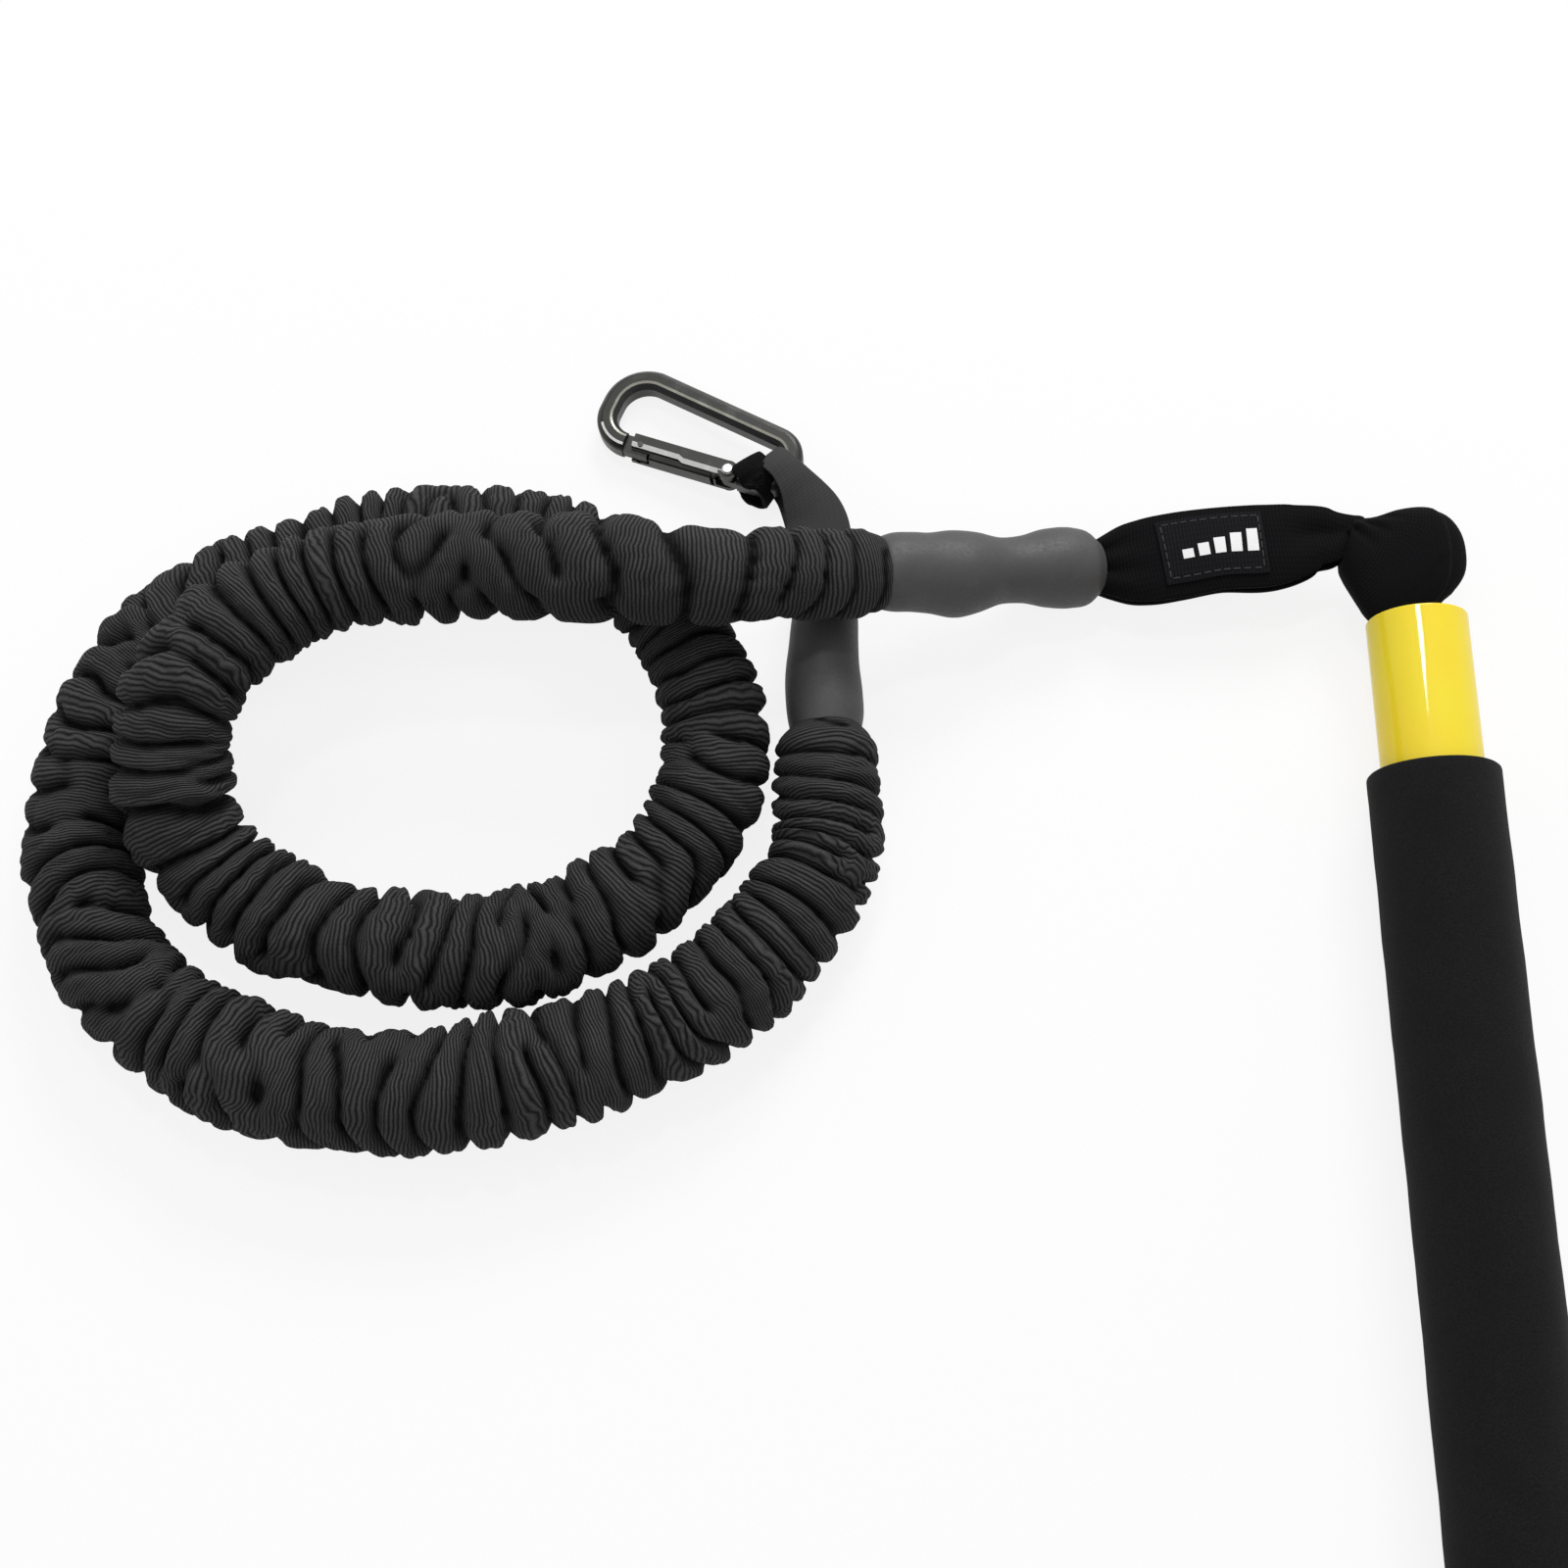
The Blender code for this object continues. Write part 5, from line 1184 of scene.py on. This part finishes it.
def build_hood():
    """The end loop's hood: a flattened sleeve of doubled webbing from the hitch into the tube,
    round the anchor pin. Its upper layer ends short of the lower one on the outer side."""
    table = np.array(HOOD)
    runs = lengths_along((table[:, 0:2] + table[:, 2:4]) / 2)
    _, rows = smooth_rows(np.column_stack([runs, table]), HOOD_ROWS)
    angle = np.linspace(0.0, 2 * pi, HOOD_SIDES + 1)
    u, v = (
        np.sign(wave) * np.abs(wave) ** power
        for wave, power in zip((np.cos(angle), np.sin(angle)), HOOD_SQUARENESS)
    )
    inner = np.column_stack([rows[:, 0:2], rows[:, 4]])
    outer = np.column_stack([rows[:, 2:4], rows[:, 4]])
    arm = (outer - inner) / 2
    places = ((inner + outer) / 2)[:, None, :] + arm[:, None, :] * u[None, :, None]
    height = rows[:, 5:6] * v[None, :]
    above = np.clip(v[None, :], 0.0, 1.0)
    over = np.clip((u[None, :] - rows[:, 6:7]) / LAYER_EDGE, 0.0, 1.0)
    height = height - LAYER_STEP * (over * over * (3 - 2 * over) * above ** 0.5)
    for x0, y0, x1, y1, depth in HOOD_CREASES:
        start, reach = np.array((x0, y0)), np.array((x1 - x0, y1 - y0))
        offset = places[:, :, :2] - start
        share = np.clip((offset @ reach) / (reach @ reach), 0.0, 1.0)
        gap = np.linalg.norm(offset - share[:, :, None] * reach, axis=2)
        fade = (1 - share) ** 0.7
        height -= depth * fade * np.exp(-((gap / CREASE_WIDTH) ** 2)) * above
    places[:, :, 2] += height
    places += np.array(HITCH)
    hood = cloth_surface("hood_webbing", places, closed=True)
    lip_end = (0.0, MOUTH_Y - PIN_DEPTH - HOOD_LIP, AXIS_HEIGHT)
    with editing(hood):
        faces_out()
        pick(hood, "EDGE", lambda edge: edge.is_boundary and edge.verts[0].co.y < MOUTH_Y - 0.03)
        extruded(0.0, -HOOD_LIP, 0.0)
        resized((0.9, 1.0, 0.55), lip_end)
        bpy.ops.mesh.fill(use_beauty=False)
    modified(hood, "SOLIDIFY", thickness=sizes().webbing_thickness, offset=-1.0)
    smooth(hood)
    dressed(hood, "bar_webbing", "webbing_black", "bar", "end_loop")


def build_shrink(name, table, start, outward, length, node_name):
    """A shrunk rubber sleeve with the lumps of what it holds."""
    _, rows = smooth_rows(table, SHRINK_ROWS)
    shares = np.linspace(0.0, 1.0, SHRINK_ROWS)
    sleeve = drawn_out(name, list(zip(shares * length, rows[:, 0])), SHRINK_SIDES)
    places = places_of(sleeve)
    share = places[:, 2] / length
    lump = np.array([
        noise.noise(Vector((*(place * SHRINK_LUMPS),)) + Vector((3.0, length * 100.0, 0.0)))
        for place in places
    ])
    swell = 1.0 + lump * SHRINK_LUMP_SHARE * np.sin(np.clip(share, 0, 1) * pi)
    places[:, :2] *= swell[:, None]
    places[:, 0] += np.interp(share, shares, rows[:, 1])
    move_to(sleeve, places)
    with editing(sleeve):
        for height, step in ((0.0, 0.0030), (length, -0.0060)):
            pick(sleeve, "EDGE", lambda edge: (
                edge.is_boundary and abs(edge.verts[0].co.z - height) < 0.0004
            ))
            work = bmesh.from_edit_mesh(sleeve.data)
            rim = [vert.co.copy() for vert in work.verts if vert.select]
            middle = sum(rim, Vector()) / len(rim)
            radius = (rim[0] - middle).length
            for inwards, on in (
                (0.0005, -step * 0.12), (SHRINK_WALL, -step * 0.05), (SHRINK_WALL, step),
            ):
                extruded(0.0, 0.0, height + on - middle.z)
                share = (radius - inwards) / radius
                resized((share, share, 1.0), (middle.x, middle.y, height + on))
                radius -= inwards
                middle.z = height + on
        faces_out()
    settled(sleeve, turned_along(start, outward))
    smooth(sleeve, 60)
    dressed(sleeve, "shrink_rubber", "shrink_grey", "cord", node_name)


def round_piece(name, radius, start, end):
    """A plain round piece along the bar's axis."""
    piece = added(
        bpy.ops.mesh.primitive_cylinder_add, name, vertices=ROUND_SIDES, radius=radius,
        depth=end - start, location=(0.0, (start + end) / 2, AXIS_HEIGHT),
        rotation=(pi / 2, 0.0, 0.0),
    )
    settled(piece)
    return piece


def bored_piece(name, radius, bore, start, end, rounding, steps=1):
    """A round piece along the bar with a bore through it and rounded rims."""
    piece = round_piece(name, radius, start, end)
    with editing(piece):
        pick(piece, "FACE", lambda face: abs(face.normal.y) > 0.9)
        bpy.ops.mesh.inset(thickness=radius - bore)
        bpy.ops.mesh.bridge_edge_loops()
        pick(piece, "EDGE", lambda edge: (
            len(edge.link_faces) == 2 and edge.calc_face_angle(0) > 1.2
        ))
        bpy.ops.mesh.bevel(offset=rounding, segments=3)
        for step in range(1, steps):
            everything()
            bpy.ops.mesh.bisect(
                plane_co=(0.0, start + (end - start) * step / steps, 0.0), plane_no=(0.0, 1.0, 0.0)
            )
    return piece


def build_bar():
    """Tube, grips and end cap."""
    bore = TUBE_RADIUS - TUBE_WALL
    tube = bored_piece("tube_shell", TUBE_RADIUS, bore, FAR_END_Y, MOUTH_Y, TUBE_RIM)
    hole = added(
        bpy.ops.mesh.primitive_cylinder_add, "pin_hole", vertices=32, radius=PIN_RADIUS + GAP,
        depth=TUBE_RADIUS * 3, location=(0.0, MOUTH_Y - PIN_DEPTH, AXIS_HEIGHT),
        rotation=(0.0, pi / 2, 0.0),
    )
    settled(hole)
    joined_by(tube, hole, "DIFFERENCE")
    smooth(tube, 12)
    dressed(tube, "tube_paint", "tube_yellow", "bar", "bar_tube")

    for name in ("grip_cord_end", "grip_far_end"):
        start, end, radius, _ = on_bar(f"foam_{name}")
        grip = bored_piece(name, radius, TUBE_RADIUS + GAP, start, end, GRIP_RIM, GRIP_STEPS)
        places = places_of(grip)
        out = places - np.array((0.0, 0.0, AXIS_HEIGHT))
        out[:, 1] = 0.0
        reach = np.linalg.norm(out, axis=1)
        for row, place in enumerate(places):
            if reach[row] > radius - GRIP_SKIN:
                wave = sum(noise.noise(Vector(place * rate)) * share for rate, share in GRIP_WAVES)
                place += out[row] / reach[row] * (wave * GRIP_WAVE_HEIGHT - GRIP_WAVE_HEIGHT)
        move_to(grip, places)
        smooth(grip, 50)
        dressed(grip, "grip_foam", "foam_black", "bar", f"foam_{name}")

    cap = round_piece("end_cap", TUBE_RADIUS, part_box("far_end_cap")[0].y, FAR_END_Y - GAP)
    with editing(cap):
        pick(cap, "FACE", lambda face: face.normal.y < -0.9)
        bpy.ops.mesh.bevel(offset=CAP_RIM, segments=4)
        pick(cap, "FACE", lambda face: face.normal.y < -0.9)
        bpy.ops.mesh.inset(thickness=0.0036)
        bpy.ops.mesh.inset(thickness=0.0003, depth=-0.0004)
        pick(cap, "FACE", lambda face: face.normal.y > 0.9)
        bpy.ops.mesh.inset(thickness=TUBE_WALL + GAP)
        extruded(0.0, CAP_SPIGOT, 0.0)
        bpy.ops.mesh.inset(thickness=CAP_WALL)
        extruded(0.0, -CAP_SPIGOT, 0.0)
    smooth(cap, 35)
    dressed(cap, "cap_plastic", "cap_black", "bar", "far_end_cap")


def clip_corners():
    """The corners of the carabiner's middle line, small end at x = 0, gate side at +y."""
    small = CLIP_SMALL_WIDTH / 2
    big = CLIP_BIG_WIDTH / 2
    return (
        Vector((CLIP_LENGTH, big)), Vector((CLIP_LENGTH, -big)),
        Vector((0.0, -small)), Vector((0.0, small)),
    )


def gate_line(reach):
    nose_corner, _, _, hinge_corner = clip_corners()
    return hinge_corner.lerp(nose_corner, reach / CLIP_LENGTH)


def gate_run():
    """The gate's rivet and nose, the way from one to the other, and its angle."""
    nose_corner, _, _, hinge_corner = clip_corners()
    way = (nose_corner - hinge_corner).normalized()
    return gate_line(GATE_PIVOT), gate_line(GATE_NOSE), way, atan2(way.y, way.x)


def arc_at(before, corner, after, radius):
    """Where the rounding of a corner starts, its centre and its sweep."""
    into = (before - corner).normalized()
    out = (after - corner).normalized()
    half = acos(max(-1.0, min(1.0, into.dot(out)))) / 2
    centre = corner + (into + out).normalized() * (radius / sin(half))
    first = corner + into * (radius / tan(half))
    last = corner + out * (radius / tan(half))
    return first, last, centre, pi - 2 * half


def held_place():
    """Where the strap holds the carabiner, on the arc of its small end."""
    _, _, spine_corner, hinge_corner = clip_corners()
    nose_side = gate_line(CLIP_LENGTH)
    centre = arc_at(nose_side, hinge_corner, spine_corner, CLIP_SMALL_RADIUS)[2]
    return centre + Vector((cos(CLIP_HELD_ANGLE), sin(CLIP_HELD_ANGLE))) * CLIP_SMALL_RADIUS


def clip_place():
    """The matrix from the carabiner's own plane to where it lies."""
    drop = atan2(HELD.z - CLIP_REST_HEIGHT, CLIP_LENGTH)
    held = held_place()
    turn = Matrix.Rotation(CLIP_HEADING, 4, "Z") @ Matrix.Rotation(drop, 4, "Y")
    return Matrix.Translation(HELD) @ turn @ Matrix.Translation((-held.x, -held.y, 0.0))


def box_at(name, size, centre, angle=0.0):
    piece = added(
        bpy.ops.mesh.primitive_cube_add, name, size=1.0, location=centre,
        rotation=(0.0, 0.0, angle),
    )
    piece.scale = size
    settled(piece)
    return piece


def rod_at(name, radius, depth, centre, sides=24):
    return added(
        bpy.ops.mesh.primitive_cylinder_add, name, vertices=sides, radius=radius, depth=depth,
        location=centre,
    )


def joined_by(piece, tool, operation):
    modified(piece, "BOOLEAN", object=tool, operation=operation, solver="EXACT")
    bpy.data.objects.remove(tool, do_unlink=True)


def build_clip_frame():
    """The carabiner's frame: a chamfered section drawn round its bends, and its two tangs."""
    nose_corner, spine_big, spine_small, hinge_corner = clip_corners()
    rivet, nose, gate_way, gate_angle = gate_run()
    side = CLIP_BAR_WIDTH / 2
    nose_face = nose + gate_way * FREE_PLAY
    hinge_face = rivet - gate_way * (side + FREE_PLAY)
    corners = [nose_face, nose_corner, spine_big, spine_small, hinge_corner, hinge_face]
    radii = (CLIP_NOSE_RADIUS, CLIP_SPINE_RADIUS, CLIP_SMALL_RADIUS, CLIP_SMALL_RADIUS)

    clip = added(bpy.ops.mesh.primitive_circle_add, "clip_frame", vertices=8, radius=1.0)
    half = Vector((CLIP_BAR_WIDTH / 2, CLIP_BAR_HEIGHT / 2))
    flat_x, flat_y = half.x - CLIP_CHAMFER, half.y - CLIP_CHAMFER
    move_to(clip, [
        (half.x, flat_y, 0.0), (flat_x, half.y, 0.0), (-flat_x, half.y, 0.0),
        (-half.x, flat_y, 0.0), (-half.x, -flat_y, 0.0), (-flat_x, -half.y, 0.0),
        (flat_x, -half.y, 0.0), (half.x, -flat_y, 0.0),
    ])
    with editing(clip):
        everything()
        bpy.ops.mesh.bevel(offset=CLIP_FACET, segments=1, affect="VERTICES")
    settled(clip, turned_along(Vector((*nose_face, 0.0)), (*gate_way, 0.0)))
    at = nose_face
    with editing(clip):
        everything()
        for before, middle, after, radius in zip(corners, corners[1:], corners[2:], radii):
            first, last, centre, sweep = arc_at(before, middle, after, radius)
            extruded(*(first - at), 0.0)
            bpy.ops.mesh.spin(
                steps=BEND_STEPS, angle=sweep, center=(*centre, 0.0), axis=(0.0, 0.0, 1.0)
            )
            chosen = [vert.co for vert in bmesh.from_edit_mesh(clip.data).verts if vert.select]
            reached = sum(chosen, Vector()) / len(chosen)
            if (reached.xy - last).length > 0.0001:
                raise RuntimeError("the carabiner's bend went the wrong way")
            at = last
        extruded(*(hinge_face - at), 0.0)
        for end in (nose_face, hinge_face):
            pick(clip, "EDGE", lambda edge: edge.is_boundary and all(
                (vert.co.xy - end).length < CLIP_BAR_WIDTH for vert in edge.verts
            ))
            bpy.ops.mesh.edge_face_add()
        faces_out()

    def worked(name, length, width, thickness, middle, operation):
        size = (length, width, thickness)
        joined_by(clip, box_at(name, size, (*middle, 0.0), gate_angle), operation)

    length = side * 2 + FREE_PLAY
    middle = rivet - gate_way * (length / 2)
    worked("hinge_tang", length, TANG_WIDTH, TANG_THICKNESS, middle, "UNION")
    centre = (*rivet, 0.0)
    joined_by(clip, rod_at("tang_end", TANG_WIDTH / 2, TANG_THICKNESS, centre, 32), "UNION")
    hole = rod_at("rivet_hole", RIVET_RADIUS + GAP, CLIP_BAR_HEIGHT, centre)
    joined_by(clip, hole, "DIFFERENCE")
    length = NOSE_TANG_REACH + FREE_PLAY + side
    middle = nose_face + gate_way * (side - length / 2)
    worked("nose_tang", length, TANG_WIDTH, TANG_THICKNESS, middle, "UNION")
    notch_half = NOSE_PIN_RADIUS + FREE_PLAY
    notch_length = TANG_WIDTH / 2 + notch_half
    pin_place = nose - gate_way * NOSE_PIN_SETBACK
    middle = pin_place + Vector((gate_way.y, -gate_way.x)) * (notch_length - notch_half)
    size = (notch_half * 2, notch_length * 2, TANG_THICKNESS * 2)
    worked("nose_notch", *size, middle, "DIFFERENCE")

    # Painted light: the facet along the inner top edge has a painted highlight, the chamfer
    # below it painted shade, and the facet over the nose's lip a brighter painted highlight
    for finish in ("clip_anodised", "clip_rubbed", "clip_shade", "clip_edge"):
        clip.data.materials.append(finish_named(finish))
    inside = Vector((CLIP_LENGTH * 0.5, 0.0))
    for face in clip.data.polygons:
        height, place = face.normal.z, face.center
        if height < -0.3 or height > 0.97 or abs(place.z) < TANG_THICKNESS * 0.51:
            continue
        on_facet = height > 0.85
        if face.normal.xy.dot(inside - place.xy) > 0.0:
            face.material_index = 1 if on_facet else 2
        elif on_facet and place.x > GATE_NOSE and place.y > CLIP_BIG_WIDTH * 0.36:
            face.material_index = 3
    settled(clip, clip_place())
    smooth(clip, 20)
    dressed(clip, None, "clip_grey", "carabiner", "carabiner_frame")


def build_gate():
    """The gate: a stepped bar, slotted over the frame's two tangs. Its outer half lies lower
    than its top face; the slope between them, with a painted highlight, steps inwards at
    mid-length."""
    rivet, nose, _, gate_angle = gate_run()
    length = (nose - rivet).length
    side = CLIP_BAR_WIDTH / 2
    top = CLIP_BAR_HEIGHT / 2
    edge = GATE_EDGE
    outline = [
        (edge - side, -top), (side - edge, -top), (side, edge - top),
        (side, GATE_LEDGE - 2 * edge), (side - edge, GATE_LEDGE - edge),
        (GATE_SLOPE[1] + edge / 4, GATE_LEDGE), (GATE_SLOPE[1], GATE_SLOPE_FOOT),
        (GATE_SLOPE[0], top), (edge - side, top), (-side, top - edge), (-side, edge - top),
    ]
    gate = added(
        bpy.ops.mesh.primitive_circle_add, "gate_bar", vertices=len(outline), radius=1.0
    )
    move_to(gate, [(0.0, y, z) for y, z in outline])
    step_at = length * GATE_STEP_AT
    with editing(gate):
        everything()
        for reach in (step_at, GATE_STEP_RUN, length - step_at - GATE_STEP_RUN):
            extruded(reach, 0.0, 0.0)
        pick(gate, "VERT", lambda vert: (
            vert.co.x > step_at + 0.0001 and vert.co.z > 0.0
            and GATE_SLOPE[0] - 0.0001 < vert.co.y < side - 2 * edge
        ))
        bpy.ops.transform.translate(value=(0.0, -GATE_STEP, 0.0))
        for end in (0.0, length):
            pick(gate, "EDGE", lambda edge: all(
                abs(vert.co.x - end) < 0.00001 for vert in edge.verts
            ))
            bpy.ops.mesh.edge_face_add()
        faces_out()
    for finish in ("clip_anodised", "clip_edge"):
        gate.data.materials.append(finish_named(finish))
    # The slope's faces get a painted highlight
    for face in gate.data.polygons:
        if face.normal.y > 0.35 and face.normal.z > 0.35 and face.center.z > GATE_LEDGE:
            face.material_index = 1
    joined_by(gate, rod_at("knuckle", side, CLIP_BAR_HEIGHT - edge, (0.0, 0.0, 0.0), 40), "UNION")
    slot = TANG_THICKNESS + 2 * FREE_PLAY
    knuckle = TANG_WIDTH / 2 + FREE_PLAY
    deep = CLIP_BAR_WIDTH * 2
    notch = (GATE_NOTCH, GATE_NOTCH * 2, CLIP_BAR_HEIGHT)
    for name, size, place in (
        ("hinge_slot", (knuckle * 2 + side * 2, deep, slot), (-side, 0.0, 0.0)),
        ("nose_slot", ((NOSE_TANG_REACH + 2 * FREE_PLAY) * 2, deep, slot), (length, 0.0, 0.0)),
        ("hinge_notch", notch, (knuckle + GATE_NOTCH, side, GATE_NOTCH)),
        ("nose_notch", notch, (length - 2 * GATE_NOTCH, side, GATE_NOTCH)),
    ):
        joined_by(gate, box_at(name, size, place), "DIFFERENCE")
    hole = rod_at("gate_hole", RIVET_RADIUS + GAP, CLIP_BAR_HEIGHT * 2, (0.0, 0.0, 0.0))
    joined_by(gate, hole, "DIFFERENCE")
    turn = Matrix.Rotation(gate_angle, 4, "Z")
    settled(gate, clip_place() @ Matrix.Translation((*rivet, 0.0)) @ turn)
    smooth(gate, 20)
    dressed(gate, None, "clip_grey", "gate", "gate")


# What hangs on the cord's far end and at its start
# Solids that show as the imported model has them, with their finishes
CARRIED_OVER = {
    "anchor_pin": "steel", "clamp_ring_bar_end": "steel", "clamp_ring_clip_end": "steel",
    "gate_rivet": "steel", "nose_pin": "dark_steel", "gate_spring": "steel",
    "gate_plunger": "steel", "cord_plug_bar_end": "nylon", "cord_plug_clip_end": "nylon",
    "elastic_tube": "latex",
}


# Operators

class CORDBAR_OT_stage(bpy.types.Operator):
    """Adds the pale floor, the soft lamps and the camera"""

    bl_idname = "cordbar.stage"
    bl_label = "Floor, lamps and camera"

    def execute(self, context):
        look = (CAMERA_AIM - CAMERA_PLACE).normalized()
        right = look.cross(UP).normalized()
        facing = Matrix((right, right.cross(look), -look)).transposed().to_4x4()
        bpy.ops.object.select_all(action="DESELECT")
        bpy.ops.object.camera_add()
        camera = context.object
        camera.name = "camera"
        camera.matrix_world = Matrix.Translation(CAMERA_PLACE) @ facing
        camera.data.lens = CAMERA_LENS
        camera.data.clip_start = 0.01
        context.scene.camera = camera

        place = (CAMERA_AIM.x, CAMERA_AIM.y, 0.0)
        floor = added(bpy.ops.mesh.primitive_plane_add, "floor", size=FLOOR_SIZE, location=place)
        settled(floor)
        floor.data.materials.append(floor_finish())

        world = bpy.data.worlds.new("studio")
        world.use_nodes = True
        tree = world.node_tree
        fed(tree, tree.nodes["Background"], {
            "Strength": ranged(tree, seen_rays(tree), 0.0, 1.0, WORLD_LIGHT, 1.0),
            "Color": (1.0, 1.0, 1.0, 1.0),
        })
        context.scene.world = world

        for name, (place, width, depth, power) in LAMPS.items():
            bpy.ops.object.select_all(action="DESELECT")
            bpy.ops.object.light_add(type="AREA", location=place)
            lamp = context.object
            lamp.name = name
            lamp.data.shape = "RECTANGLE"
            lamp.data.size = width
            lamp.data.size_y = depth
            lamp.data.energy = power
            lamp.rotation_euler = (Vector(place) - CAMERA_AIM).to_track_quat("Z", "Y").to_euler()
        context.scene.view_settings.view_transform = "Standard"
        return {"FINISHED"}


class CORDBAR_OT_cord(bpy.types.Operator):
    """Models the gathered sleeve of the cord along its route"""

    bl_idname = "cordbar.cord"
    bl_label = "Gathered cord"

    def execute(self, context):
        sleeve, path, length = build_sleeve()
        return {"FINISHED"}


class CORDBAR_OT_fittings(bpy.types.Operator):
    """Models the two shrink sleeves at the cord's ends"""

    bl_idname = "cordbar.fittings"
    bl_label = "Shrink sleeves"

    def execute(self, context):
        line = cord_line()
        runs = lengths_along(line)
        for end, table, near, far, length in (
            ("bar_end", SHRINK_BAR, 0.0, SHRINK_LENGTH_BAR, SHRINK_LENGTH_BAR),
            ("clip_end", SHRINK_CLIP, runs[-1], runs[-1] - SHRINK_LENGTH_CLIP, SHRINK_LENGTH_CLIP),
        ):
            outer, inner = (Vector(at_lengths(line, runs, [run])[0][:3]) for run in (near, far))
            way = (outer - inner).normalized()
            build_shrink(f"shrink_{end}", table, inner, way, length, f"shrink_sleeve_{end}")
        return {"FINISHED"}


class CORDBAR_OT_straps(bpy.types.Operator):
    """Models the cord's two webbing loops and the label"""

    bl_idname = "cordbar.straps"
    bl_label = "Straps and label"

    def execute(self, context):
        strap, upper = strap_loop("strap_at_bar", BAR_STRAP, 120, 33, bar_strap_shape)
        dressed(strap, "bar_webbing", "webbing_black", "cord", "strap_loop_bar_end")
        build_label(upper, FREE_SHARE)
        strap, _ = strap_loop("strap_at_carabiner", CLIP_STRAP, 80, 25, clip_strap_shape)
        dressed(strap, "clip_webbing", "webbing_grey", "cord", "strap_loop_clip_end")
        # The inner fold is dressed black as painted shade of the hollow inside the grey strap
        strap, _ = strap_loop("strap_inner_fold", CLIP_FOLD, 40, 17, clip_strap_shape, 0.3)
        dressed(strap, "bar_webbing", "webbing_black", "carabiner")
        return {"FINISHED"}


class CORDBAR_OT_hood(bpy.types.Operator):
    """Models the webbing hood between the hitch and the tube"""

    bl_idname = "cordbar.hood"
    bl_label = "Webbing hood"

    def execute(self, context):
        build_hood()
        return {"FINISHED"}


class CORDBAR_OT_bar(bpy.types.Operator):
    """Models the tube, its foam grips and its end cap"""

    bl_idname = "cordbar.bar"
    bl_label = "Padded bar"

    def execute(self, context):
        build_bar()
        return {"FINISHED"}


class CORDBAR_OT_carabiner(bpy.types.Operator):
    """Models the carabiner's frame and gate"""

    bl_idname = "cordbar.carabiner"
    bl_label = "Carabiner"

    def execute(self, context):
        build_clip_frame()
        build_gate()
        return {"FINISHED"}


class CORDBAR_OT_small_parts(bpy.types.Operator):
    """Gives the pins, rings, spring, plugs and elastic tube their finishes"""

    bl_idname = "cordbar.small_parts"
    bl_label = "Small parts"

    def execute(self, context):
        for name, finish in CARRIED_OVER.items():
            for slot in frame["nodes"][name].material_slots:
                slot.material = finish_named(finish)
        return {"FINISHED"}


class CORDBAR_PT_panel(bpy.types.Panel):
    """Lists the pieces in the sidebar"""

    bl_idname = "CORDBAR_PT_panel"
    bl_label = "Cord Bar"
    bl_space_type = "VIEW_3D"
    bl_region_type = "UI"
    bl_category = "Cord Bar"

    def draw(self, context):
        for made in OPERATORS:
            self.layout.operator(made.bl_idname)
        for settings in (context.scene.cord_bar_sizes, context.scene.cord_bar_colours):
            box = self.layout.box()
            for key in settings.__annotations__:
                box.prop(settings, key)


OPERATORS = (
    CORDBAR_OT_stage, CORDBAR_OT_cord, CORDBAR_OT_fittings, CORDBAR_OT_straps, CORDBAR_OT_hood,
    CORDBAR_OT_bar, CORDBAR_OT_carabiner, CORDBAR_OT_small_parts,
)
CLASSES = (CordBarSizes, CordBarColours, *OPERATORS, CORDBAR_PT_panel)


def register():
    for made in CLASSES:
        bpy.utils.register_class(made)
    bpy.types.Scene.cord_bar_sizes = bpy.props.PointerProperty(type=CordBarSizes)
    bpy.types.Scene.cord_bar_colours = bpy.props.PointerProperty(type=CordBarColours)


def unregister():
    del bpy.types.Scene.cord_bar_colours
    del bpy.types.Scene.cord_bar_sizes
    for made in reversed(CLASSES):
        bpy.utils.unregister_class(made)


def main():
    register()
    bpy.ops.cordbar.stage()
    bpy.ops.cordbar.cord()
    bpy.ops.cordbar.fittings()
    bpy.ops.cordbar.straps()
    bpy.ops.cordbar.hood()
    bpy.ops.cordbar.bar()
    bpy.ops.cordbar.carabiner()
    bpy.ops.cordbar.small_parts()


if __name__ == "__main__":
    main()
